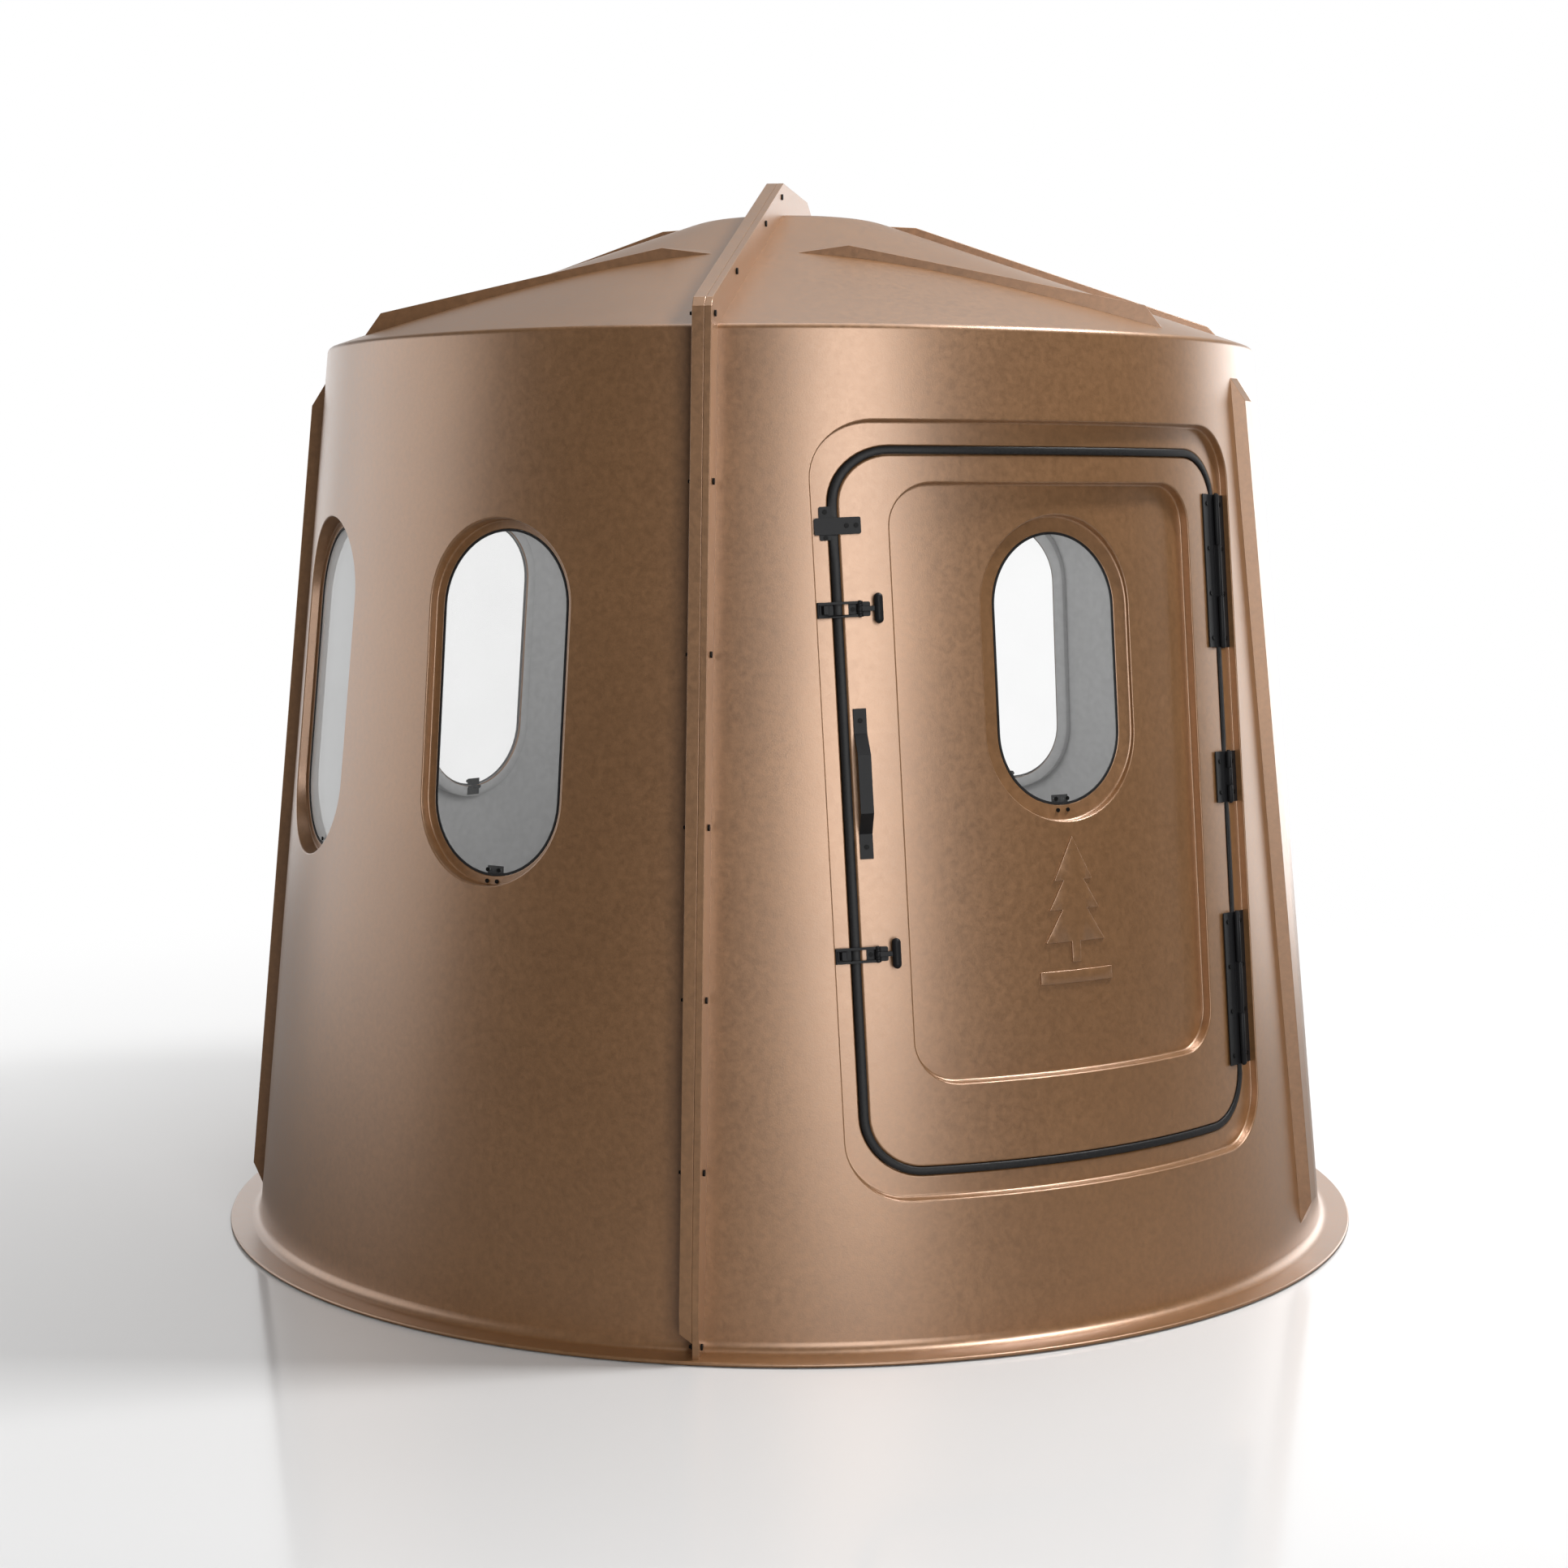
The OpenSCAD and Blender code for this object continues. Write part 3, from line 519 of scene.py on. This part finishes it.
def frame_edge(skin):
    """From the doorway's edge inwards, and the lip behind the door."""
    d = RECESS_DEPTH
    steps = ((0.0003, d + 0.0022, False), (0.0, d + 0.0050, False), (0.0, d + 0.0085, True),
             (-0.0005, d + 0.0085, True), (-0.0225, d + 0.0085, True), (-0.0240, d + 0.0095, False),
             (-0.0240, d + 0.0145, False), (-0.0225, d + 0.0155, False), (0.0060, d + 0.0155, False),
             (0.0080, d + 0.0145, False), (0.0080, d + 0.0060, False))
    skin.rows(door_rows(skin, FRAME, steps), closed=True)


# ---------------------------------------------------------------- build the two halves and the door
WALL_WINDOW = dict(z=1.069, radius=0.150, straight=0.164, ledge=0.016, depth=0.030)
DOOR_WINDOW = dict(z=1.126, radius=0.155, straight=0.107, ledge=0.028, depth=0.020)
LEFT_WINDOWS = (-23.7, -56.8, -123.2, -156.3)
RIGHT_WINDOWS = (123.2, 156.3)


def build_half(name, start, azimuths, loops, materials):
    """One half shell. azimuths place its windows, and loops are the doorway's, where it has one."""
    skin = Skin()
    windows = [Window(math.radians(a), **WALL_WINDOW) for a in azimuths]
    wall_sheet(start, loops, windows, skin)
    half_strips(skin, start)
    if loops:
        frame_edge(skin)
    return skin.build(name, materials)


GRID_X = 0.0255               # spacing of the door's loose points across
GRID_Z = 0.0505               # and upwards
GRID_LOW = 0.315              # height of their lowest row


def door_grid(window):
    """Loose (flat, space) points of the door's sheet, inside the door and outside its window."""
    door_edge = rounded_rectangle(*DOOR, out=-0.0003)
    panel_edge = rounded_rectangle(*PANEL)
    entries = []
    for i in range(-15, 16):
        for j in range(24):
            x, z = GRID_X * i, GRID_LOW + GRID_Z * j
            if inside_outline((x, z), door_edge) and not inside_outline((x, z), window):
                depth = RECESS_DEPTH + (PANEL_DEPTH if inside_outline((x, z), panel_edge) else 0.0)
                entries.append(((x, z), (door_point(x, z, depth), wall_normal(door_phi(x, z, depth)))))
    return entries


def build_door(materials):
    """The door's sheet is mapped by chord distance and height, and its edge is a strip of rows."""
    skin = Skin()
    sheet = Sheet()
    d = RECESS_DEPTH
    back = (-0.0045, d + WALL_T)
    edge = ((-0.0003, d + 0.0020, False, back), (-0.0014, d + 0.0006, False, back),
            (-0.0040, d, True, back))
    for flat, space in door_loops(DOOR, edge, list) + door_loops(PANEL, step_down(d, PANEL_DEPTH), list):
        sheet.add_loop(flat, space)
    pocket = Window(DOOR_PHI, sunk=d + PANEL_DEPTH, **DOOR_WINDOW)
    window = window_loop(sheet, pocket, skin, lambda p: (Vector((p[0], p[1], 0)).dot(DOOR_X), p[2]))
    sheet.add_points(door_grid(window))
    sheet.into(skin)
    steps = ((-0.0003, d + 0.0020, False), (0.0, d + 0.0040, False), (0.0, d + 0.0068, False),
             (-0.0012, d + 0.0080, False), (-0.0045, d + 0.0080, False))
    skin.rows(door_rows(skin, DOOR, steps)[::-1], closed=True)
    return skin.build("door_skin", materials)


# ---------------------------------------------------------------- fins, ribs and seal
def round_edges(obj, width, segments, sharper):
    """Rounds the edges where two faces turn by more than the angle sharper, in degrees."""
    rounding = obj.modifiers.new("rounding", "BEVEL")
    rounding.width = width
    rounding.segments = segments
    rounding.limit_method = "ANGLE"
    rounding.angle_limit = math.radians(sharper)
    rounding.harden_normals = True


def solid(name, points, faces, material, bevel):
    """A piece with flat sides and rounded edges."""
    mesh = bpy.data.meshes.new(name)
    mesh.from_pydata(points, [], faces)
    mesh.materials.append(material)
    mesh.shade_smooth()
    obj = bpy.data.objects.new(name, mesh)
    bpy.context.scene.collection.objects.link(obj)
    round_edges(obj, bevel, 3, 20)
    return obj


FIN_TOE = 0.085               # height of the bend in the fin's outer edge, over its toe
FIN_LOW = 0.0005              # the fin ends this far above the floor, unless its foot is cut off higher
FIN_ROOT = 0.004              # the fin's inner edge runs this deep in the wall and roof


def fin_outline():
    """The outer and the inner edge of half a fin, as (distance from the middle, height)."""
    top = CROWN_Z + FIN_DEPTH
    rim_y = RIM_R + FIN_DEPTH
    rim_z = top - ROOF_SLOPE * (rim_y - CROWN_R)
    base_y = FLOOR_R + FLANGE_W
    inset = 0.014
    bevel = 0.012
    outer = [(base_y - inset, FIN_LOW), (base_y - SLOPE * FIN_TOE, FIN_TOE), (rim_y + 0.002, rim_z - bevel),
             (rim_y - bevel, rim_z + ROOF_SLOPE * bevel), (CROWN_R, top)]
    inner = [(CROWN_R, CROWN_Z - FIN_ROOT), (RIM_R - FIN_ROOT, WALL_H - FIN_ROOT),
             (FLOOR_R - FIN_ROOT, FIN_LOW)]
    return outer, inner


def build_fin(name, sides, material):
    """A seam fin from the front foot over the roof to the rear foot.

    sides are its two side planes, as (x, height its foot is cut off at).
    """
    outer, inner = fin_outline()
    points = []
    for x, cut in sides:
        if cut:
            toe_y = outer[0][0] + (outer[1][0] - outer[0][0]) * cut / FIN_TOE
            outer_edge = [(toe_y, cut)] + outer[1:]
            inner_edge = inner[:-1] + [(cone_r(cut) - FIN_ROOT, cut)]
        else:
            outer_edge, inner_edge = outer, inner
        half = outer_edge[::-1] + inner_edge[::-1]
        ring = [(-y, z) for y, z in outer_edge] + half + [(-y, z) for y, z in inner_edge]
        points += [(x, y, z) for y, z in ring]
    n = len(points) // 2
    faces = [list(range(n)), [n + i for i in range(n)][::-1]]
    for i in range(n):
        j = (i + 1) % n
        faces.append([i, n + i, n + j, j])
    return solid(name, points, faces, material, 0.0010)


def loft(name, stations, material, bevel):
    """A bar through stations of four corners each."""
    points = [corner for station in stations for corner in station]
    faces = [[0, 1, 2, 3], [4 * (len(stations) - 1) + i for i in (3, 2, 1, 0)]]
    for k in range(len(stations) - 1):
        a, b = 4 * k, 4 * (k + 1)
        for i in range(4):
            j = (i + 1) % 4
            faces.append([a + j, a + i, b + i, b + j])
    return solid(name, points, faces, material, bevel)


RIB_Y = 0.305                 # outer side plane of the wall ribs
RIB_W = 0.040
RIB_TOP = 0.022               # a wall rib's height over the wall
RIB_END = -0.003              # and at its ends, where it runs into the wall
RIB_SUNK = 0.005              # depth of its inner corners in the wall
RIB_EDGE = 0.002              # edge rounding of all ribs
SIDE_Y = 0.445                # outer side plane of the outer roof ribs
# tops of the roof ribs, as (distance from the seam, height over the roof)
SIDE_LINE = ((0.072, -0.001), (0.172, 0.021), (0.704, 0.032), (0.736, -0.001))
MIDDLE_LINE = ((0.196, -0.001), (0.252, 0.015), (0.819, 0.015), (0.842, -0.001))


def build_wall_rib(name, side, y0, y1, material):
    """side is 1 on the right half and -1 on the left. The rib stands between the planes y0 and y1."""
    heights = ((0.050, RIB_END), (0.098, RIB_TOP), (0.45, RIB_TOP), (0.85, RIB_TOP), (1.25, RIB_TOP),
               (1.592, RIB_TOP), (1.640, RIB_END))
    stations = []
    for z, h in heights:
        corners = []
        for y, lift in ((y0, -RIB_SUNK), (y1, -RIB_SUNK), (y1, h), (y0, h)):
            r = cone_r(z) + lift
            corners.append((side * math.sqrt(r * r - y * y), y, z))
        stations.append(corners if side < 0 else corners[::-1])
    return loft(name, stations, material, RIB_EDGE)


def build_roof_rib(name, side, y0, y1, line, y_line, material):
    """A rib with its top along line, whose heights are over the roof at y_line.

    Its inner corners lie 6 mm deep in the roof, and its top never runs deeper than 4 mm.
    """
    corners = [(x, roof_z(math.hypot(x, y_line)) + h) for x, h in line]
    tops_x, tops_z = zip(*corners)
    places = [tops_x[0]] + [tops_x[1] + (tops_x[2] - tops_x[1]) * k / 6 for k in range(7)] + [tops_x[3]]
    stations = []
    for x in places:
        top = np.interp(x, tops_x, tops_z)
        ring = []
        for y, upper in ((y0, False), (y1, False), (y1, True), (y0, True)):
            roof = roof_z(math.hypot(x, y))
            ring.append((side * x, y, max(top, roof - 0.004) if upper else roof - 0.006))
        stations.append(ring if side > 0 else ring[::-1])
    return loft(name, stations, material, RIB_EDGE)


def build_ribs(material):
    """Two wall ribs and three roof ribs on each half."""
    wall = (("front", -RIB_Y), ("rear", RIB_Y - RIB_W))
    roof = (("front", -SIDE_Y, SIDE_LINE, SIDE_Y), ("rear", SIDE_Y - RIB_W, SIDE_LINE, SIDE_Y),
            ("middle", -RIB_W / 2, MIDDLE_LINE, 0.0))
    made = []
    for side, half in ((-1, "left"), (1, "right")):
        for place, y in wall:
            made.append(build_wall_rib(f"wall_rib_{half}_{place}", side, y, y + RIB_W, material))
        for place, y, line, y_line in roof:
            name = f"roof_rib_{half}_{place}"
            made.append(build_roof_rib(name, side, y, y + RIB_W, line, y_line, material))
    return made


GASKET = (0.4010, 0.298, 1.4946, 0.092)
BEAD_W = 0.0064               # half width of the bead
BEAD_H = 0.0032               # its height over the recess
BEAD_PRESSED = 0.0004         # and where a hinge or the strike plate presses it flat
BEAD_DEEP = 0.0075            # depth of its root between door and frame
BEAD_RISE = 0.012             # it rises to full height over this length
BEAD_STEPS = 12
SIDE_X = 0.35                 # beyond this the outline runs up the door's sides
HINGE_SPANS = ((1.146, 1.422), (0.868, 0.960), (0.395, 0.671))
STRIKE_SPAN = (1.345, 1.401)


def gasket_height(x, z):
    """The bead is pressed flat under the hinges and the strike plate."""
    if abs(x) <= SIDE_X:
        return BEAD_H
    gap = min(max(low - z, z - high, 0.0) for low, high in (HINGE_SPANS if x > 0 else (STRIKE_SPAN,)))
    return BEAD_PRESSED + (BEAD_H - BEAD_PRESSED) * min(gap / BEAD_RISE, 1.0)


def build_gasket(material):
    """A crowned bead round the door, with a root in the gap between door and frame."""
    skin = Skin()

    def row(out, depth):
        return [skin.point(door_point(x, z, depth(x, z))) for x, z in rounded_rectangle(*GASKET, out=out)]

    rows = []
    for k in range(BEAD_STEPS + 1):
        a = math.pi * k / BEAD_STEPS
        swell = math.sin(a) ** 0.8
        rows.append(row(BEAD_W * math.cos(a), lambda x, z: RECESS_DEPTH - gasket_height(x, z) * swell))
    deep = row(BEAD_W, lambda x, z: RECESS_DEPTH + BEAD_DEEP)
    shut = row(-BEAD_W, lambda x, z: RECESS_DEPTH + BEAD_DEEP)
    skin.rows([deep] + rows + [shut, deep], closed=True)
    return skin.build("gasket_bead", [material])


# ---------------------------------------------------------------- materials
def new_material(name):
    """A material with its node tree and its main shader."""
    material = bpy.data.materials.new(name)
    material.use_nodes = True
    tree = material.node_tree
    return material, tree, tree.nodes["Principled BSDF"]


def noise(tree, scale, detail, rough=0.55, distortion=0.0):
    """Solid noise in the object's own metres."""
    place = tree.nodes.new("ShaderNodeTexCoord")
    node = tree.nodes.new("ShaderNodeTexNoise")
    node.inputs["Scale"].default_value = scale
    node.inputs["Detail"].default_value = detail
    node.inputs["Roughness"].default_value = rough
    node.inputs["Distortion"].default_value = distortion
    tree.links.new(place.outputs["Object"], node.inputs["Vector"])
    return node


def ramp(tree, source, stops):
    """Turns a value into a colour, from stops of (value, colour)."""
    node = tree.nodes.new("ShaderNodeValToRGB")
    while len(node.color_ramp.elements) < len(stops):
        node.color_ramp.elements.new(0.5)
    for element, (position, colour) in zip(node.color_ramp.elements, stops):
        element.position = position
        element.color = (*colour, 1.0)
    tree.links.new(source, node.inputs["Fac"])
    return node.outputs["Color"]


def multiply(tree, a, b):
    """One colour times another."""
    node = tree.nodes.new("ShaderNodeMix")
    node.data_type = "RGBA"
    node.blend_type = "MULTIPLY"
    node.inputs["Factor"].default_value = 1.0
    tree.links.new(a, node.inputs["A"])
    tree.links.new(b, node.inputs["B"])
    return node.outputs["Result"]


def span(tree, source, low, high):
    """Maps a noise value round 0.5 to a range."""
    node = tree.nodes.new("ShaderNodeMapRange")
    node.inputs["From Min"].default_value = 0.3
    node.inputs["From Max"].default_value = 0.7
    node.inputs["To Min"].default_value = low
    node.inputs["To Max"].default_value = high
    tree.links.new(source, node.inputs["Value"])
    return node.outputs["Result"]


def bump(tree, shader, layers):
    """Adds bumps of (height source, distance in metres, strength), one over another."""
    last = None
    for source, distance, strength in layers:
        node = tree.nodes.new("ShaderNodeBump")
        node.inputs["Distance"].default_value = distance
        node.inputs["Strength"].default_value = strength
        tree.links.new(source, node.inputs["Height"])
        if last is not None:
            tree.links.new(last.outputs["Normal"], node.inputs["Normal"])
        last = node
    tree.links.new(last.outputs["Normal"], shader.inputs["Normal"])


def shell_material(name, dark, light, metallic, rough):
    """Moulded satin shell: fine mottle, slow colour drift and orange-peel bump, under a clear coat."""
    material, tree, shader = new_material(name)
    fine = noise(tree, 85.0, 5.0, 0.65, 0.4)
    broad = noise(tree, 3.2, 3.0, 0.5)
    peel = noise(tree, 420.0, 2.0, 0.5)
    wave = noise(tree, 14.0, 2.0, 0.5)
    mottle = ramp(tree, fine.outputs["Fac"], ((0.32, dark), (0.68, light)))
    drift = ramp(tree, broad.outputs["Fac"], ((0.35, (0.90, 0.89, 0.87)), (0.65, (1.0, 1.0, 1.0))))
    tree.links.new(multiply(tree, mottle, drift), shader.inputs["Base Color"])
    shader.inputs["Metallic"].default_value = metallic
    shader.inputs["Specular IOR Level"].default_value = 1.0
    shader.inputs["Coat Weight"].default_value = 1.0
    shader.inputs["Coat Roughness"].default_value = rough
    shader.inputs["Coat IOR"].default_value = 1.65
    tree.links.new(span(tree, fine.outputs["Fac"], rough - 0.05, rough + 0.06), shader.inputs["Roughness"])
    bump(tree, shader, ((wave.outputs["Fac"], 0.0012, 0.25), (peel.outputs["Fac"], 0.0003, 0.45)))
    return material


def plain_material(name, dark, light, specular, rough, grain, depth):
    """A coated or moulded finish. grain is its noise scale, and depth its bump's height in metres."""
    material, tree, shader = new_material(name)
    fine = noise(tree, grain, 4.0)
    colour = ramp(tree, fine.outputs["Fac"], ((0.35, dark), (0.65, light)))
    tree.links.new(colour, shader.inputs["Base Color"])
    shader.inputs["Specular IOR Level"].default_value = specular
    tree.links.new(span(tree, fine.outputs["Fac"], rough - 0.05, rough + 0.08), shader.inputs["Roughness"])
    bump(tree, shader, ((fine.outputs["Fac"], depth, 0.35),))
    return material


def pane_material():
    """Thin clear sheet: seen through, with its own gloss and a painted reflection that grows at the edges,
    where the white sheet turns opaque.
    """
    material, tree, shader = new_material("clear_pane")
    haze = noise(tree, 6.0, 3.0)
    shader.inputs["Base Color"].default_value = (0.92, 0.93, 0.93, 1.0)
    shader.inputs["Roughness"].default_value = 0.04
    shader.inputs["Specular IOR Level"].default_value = 0.6
    # painted reflection: towards grazing angles the white sheet grows opaque, standing in for the reflected
    # white surroundings
    edge = tree.nodes.new("ShaderNodeLayerWeight")
    edge.inputs["Blend"].default_value = 0.5
    curve = tree.nodes.new("ShaderNodeMath")
    curve.operation = "POWER"
    curve.inputs[1].default_value = 2.2
    tree.links.new(edge.outputs["Facing"], curve.inputs[0])
    low = span(tree, haze.outputs["Fac"], 0.008, 0.024)
    add = tree.nodes.new("ShaderNodeMath")
    add.operation = "MULTIPLY_ADD"
    add.inputs[1].default_value = 1.3
    tree.links.new(curve.outputs["Value"], add.inputs[0])
    tree.links.new(low, add.inputs[2])
    tree.links.new(add.outputs["Value"], shader.inputs["Alpha"])
    return material


def grey(value):
    return (value, value, value)


tan = shell_material("shell_satin", (0.305, 0.141, 0.045), (0.390, 0.185, 0.066), 0.42, 0.37)
inside = plain_material("shell_inside", grey(0.55), grey(0.61), 0.50, 0.55, 60.0, 0.0004)
black = plain_material("black_coating", (0.012, 0.012, 0.013), (0.020, 0.020, 0.021), 0.16, 0.40, 900.0, 5e-5)
screw = plain_material("black_screw", grey(0.004), grey(0.008), 0.12, 0.45, 900.0, 3e-5)
rubber = plain_material("black_rubber", (0.014, 0.014, 0.015), (0.024, 0.023, 0.023), 0.30, 0.48, 300.0, 1e-4)
plate = plain_material("black_plate", (0.013, 0.013, 0.014), grey(0.022), 0.20, 0.42, 900.0, 5e-5)
clear = pane_material()

# ---------------------------------------------------------------- pieces
left = build_half("left_half", -math.pi, LEFT_WINDOWS, [], [tan, inside])
right = build_half("right_half", 0.0, RIGHT_WINDOWS, right_loops(), [tan, inside])
door = build_door([tan, inside])
gasket = build_gasket(rubber)
fin_left = build_fin("fin_left", ((-0.021, 0.050), (-0.0001, 0.034)), tan)
fin_right = build_fin("fin_right", ((0.0001, 0.0), (0.012, 0.0)), tan)

for piece in [left, right, fin_left, fin_right] + build_ribs(tan):
    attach(piece, "shell")
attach(door, "door")
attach(gasket, "shell")
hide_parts("left_shell")
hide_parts("right_shell")
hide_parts("door_panel")
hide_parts("door_gasket")

# ---------------------------------------------------------------- finish of the other CAD pieces
FINISH = {"shell": tan, "seal": rubber, "pane": clear, "hinge_plate": plate, "hardware": black,
          "fastener": screw}
# edge rounding by material slot: the other slots' nodes are shown as they are
ROUNDED = {"hardware": 0.0006, "fastener": 0.0006, "hinge_plate": 0.0003, "shell": 0.0012}
slots = {part["node"]: part["material_slot"] for part in frame["record"]["subparts"]}
bodies = {name: body for body, names in frame["record"]["behaviour"]["bodies"].items() for name in names}


def rounded_copy(name, node, width):
    """A piece that stands for a hard CAD piece: the same shape, with its sharp edges rounded off."""
    piece = bpy.data.objects.new(name + "_rounded", node.data.copy())
    bpy.context.scene.collection.objects.link(piece)
    weld = piece.modifiers.new("weld", "WELD")
    weld.merge_threshold = 1e-5
    round_edges(piece, width, 2, 40)
    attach(piece, bodies[name])
    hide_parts(name)


for name, node in frame["nodes"].items():
    for material_slot in node.material_slots:
        material_slot.material = FINISH[slots[name]]
    if not node.hide_render and slots[name] in ROUNDED:
        rounded_copy(name, node, ROUNDED[slots[name]])

# ---------------------------------------------------------------- studio
scene = bpy.context.scene
scene.view_settings.view_transform = "Standard"


def studio_floor():
    """A wide white floor that turns into the white of the backdrop away from the object.

    To other rays than the camera's it is a dull grey, so that it lights the object only a little.
    """
    mesh = bpy.data.meshes.new("studio_floor")
    steps = 96
    radius = 60.0
    turns = [2 * math.pi * i / steps for i in range(steps)]
    ring = [(radius * math.cos(a), radius * math.sin(a), -0.0005) for a in turns]
    mesh.from_pydata(ring, [], [list(range(steps))])
    material, tree, shader = new_material("studio_floor")
    shader.inputs["Base Color"].default_value = (0.86, 0.86, 0.86, 1.0)
    shader.inputs["Roughness"].default_value = 0.12
    shader.inputs["Specular IOR Level"].default_value = 0.5
    place = tree.nodes.new("ShaderNodeTexCoord")
    length = tree.nodes.new("ShaderNodeVectorMath")
    length.operation = "LENGTH"
    tree.links.new(place.outputs["Object"], length.inputs[0])
    fade = tree.nodes.new("ShaderNodeMapRange")
    fade.interpolation_type = "SMOOTHSTEP"
    fade.inputs["From Min"].default_value = 1.5
    fade.inputs["From Max"].default_value = 4.0
    tree.links.new(length.outputs["Value"], fade.inputs["Value"])
    white = tree.nodes.new("ShaderNodeEmission")
    white.inputs["Color"].default_value = (1.0, 1.0, 1.0, 1.0)
    white.inputs["Strength"].default_value = 1.0
    path = tree.nodes.new("ShaderNodeLightPath")
    dim = tree.nodes.new("ShaderNodeBsdfDiffuse")
    dim.inputs["Color"].default_value = (0.30, 0.30, 0.30, 1.0)
    near = tree.nodes.new("ShaderNodeMixShader")
    tree.links.new(fade.outputs["Result"], near.inputs["Fac"])
    tree.links.new(shader.outputs["BSDF"], near.inputs[1])
    tree.links.new(white.outputs["Emission"], near.inputs[2])
    mixer = tree.nodes.new("ShaderNodeMixShader")
    tree.links.new(path.outputs["Is Camera Ray"], mixer.inputs["Fac"])
    tree.links.new(dim.outputs["BSDF"], mixer.inputs[1])
    tree.links.new(near.outputs["Shader"], mixer.inputs[2])
    tree.links.new(mixer.outputs["Shader"], tree.nodes["Material Output"].inputs["Surface"])
    mesh.materials.append(material)
    floor = bpy.data.objects.new("studio_floor", mesh)
    scene.collection.objects.link(floor)


def softbox(name, azimuth, distance, height, width, tall, power, aim=(0.0, 0.0, 0.9)):
    """An area light round the object, in metres and watts.

    Azimuth 0 is in front, and it turns towards +X.
    """
    light = bpy.data.lights.new(name, "AREA")
    light.shape = "RECTANGLE"
    light.size = width
    light.size_y = tall
    light.energy = power
    obj = bpy.data.objects.new(name, light)
    obj.visible_camera = False
    a = math.radians(azimuth)
    obj.location = (distance * math.sin(a), -distance * math.cos(a), height)
    obj.rotation_mode = "QUATERNION"
    obj.rotation_quaternion = (Vector(aim) - obj.location).to_track_quat("-Z", "Y")
    scene.collection.objects.link(obj)


def cabin_lamp():
    """A small unseen lamp that lights the inside, as seen through the panes."""
    light = bpy.data.lights.new("inner", "POINT")
    light.energy = 8.5
    light.shadow_soft_size = 0.25
    obj = bpy.data.objects.new("inner", light)
    obj.location = (0.0, 0.0, 1.1)
    obj.visible_camera = False
    scene.collection.objects.link(obj)


def studio_camera():
    camera = bpy.data.cameras.new("camera")
    camera.lens = 60.77
    camera.sensor_width = 36.0
    camera.clip_start = 0.05
    camera.clip_end = 200.0
    obj = bpy.data.objects.new("camera", camera)
    obj.location = (0.7661, -5.2668, 1.4110)
    obj.rotation_euler = (math.radians(83.884), 0.0, math.radians(8.4))
    scene.collection.objects.link(obj)
    scene.camera = obj


def studio_world():
    """White to the camera, and a dim white light for everything else."""
    world = bpy.data.worlds.new("studio")
    scene.world = world
    world.use_nodes = True
    tree = world.node_tree
    sky = tree.nodes["Background"]
    sky.inputs["Color"].default_value = (1.0, 1.0, 1.0, 1.0)
    sky.inputs["Strength"].default_value = 0.10
    white = tree.nodes.new("ShaderNodeBackground")
    white.inputs["Color"].default_value = (1.0, 1.0, 1.0, 1.0)
    white.inputs["Strength"].default_value = 1.0
    path = tree.nodes.new("ShaderNodeLightPath")
    mixer = tree.nodes.new("ShaderNodeMixShader")
    tree.links.new(path.outputs["Is Camera Ray"], mixer.inputs["Fac"])
    tree.links.new(sky.outputs["Background"], mixer.inputs[1])
    tree.links.new(white.outputs["Background"], mixer.inputs[2])
    tree.links.new(mixer.outputs["Shader"], tree.nodes["World Output"].inputs["Surface"])


studio_floor()
studio_world()
softbox("key", 21.5, 6.5, 2.1, 2.4, 4.2, 180.0)
softbox("left_side", -90.0, 5.5, 1.9, 5.2, 3.8, 88.0)
softbox("right_side", 134.0, 5.5, 1.4, 3.4, 2.8, 74.0)
softbox("back", 188.0, 5.5, 1.6, 13.0, 3.2, 150.0)
softbox("back_top", 188.0, 4.2, 4.6, 8.0, 3.2, 22.0, (0.0, 0.0, 1.8))
softbox("high", 92.0, 2.9, 5.2, 1.0, 1.0, 225.0, (0.0, 0.0, 0.5))
softbox("roof", 90.0, 0.4, 3.8, 2.6, 2.6, 30.0, (0.0, 0.0, 1.8))
cabin_lamp()
studio_camera()
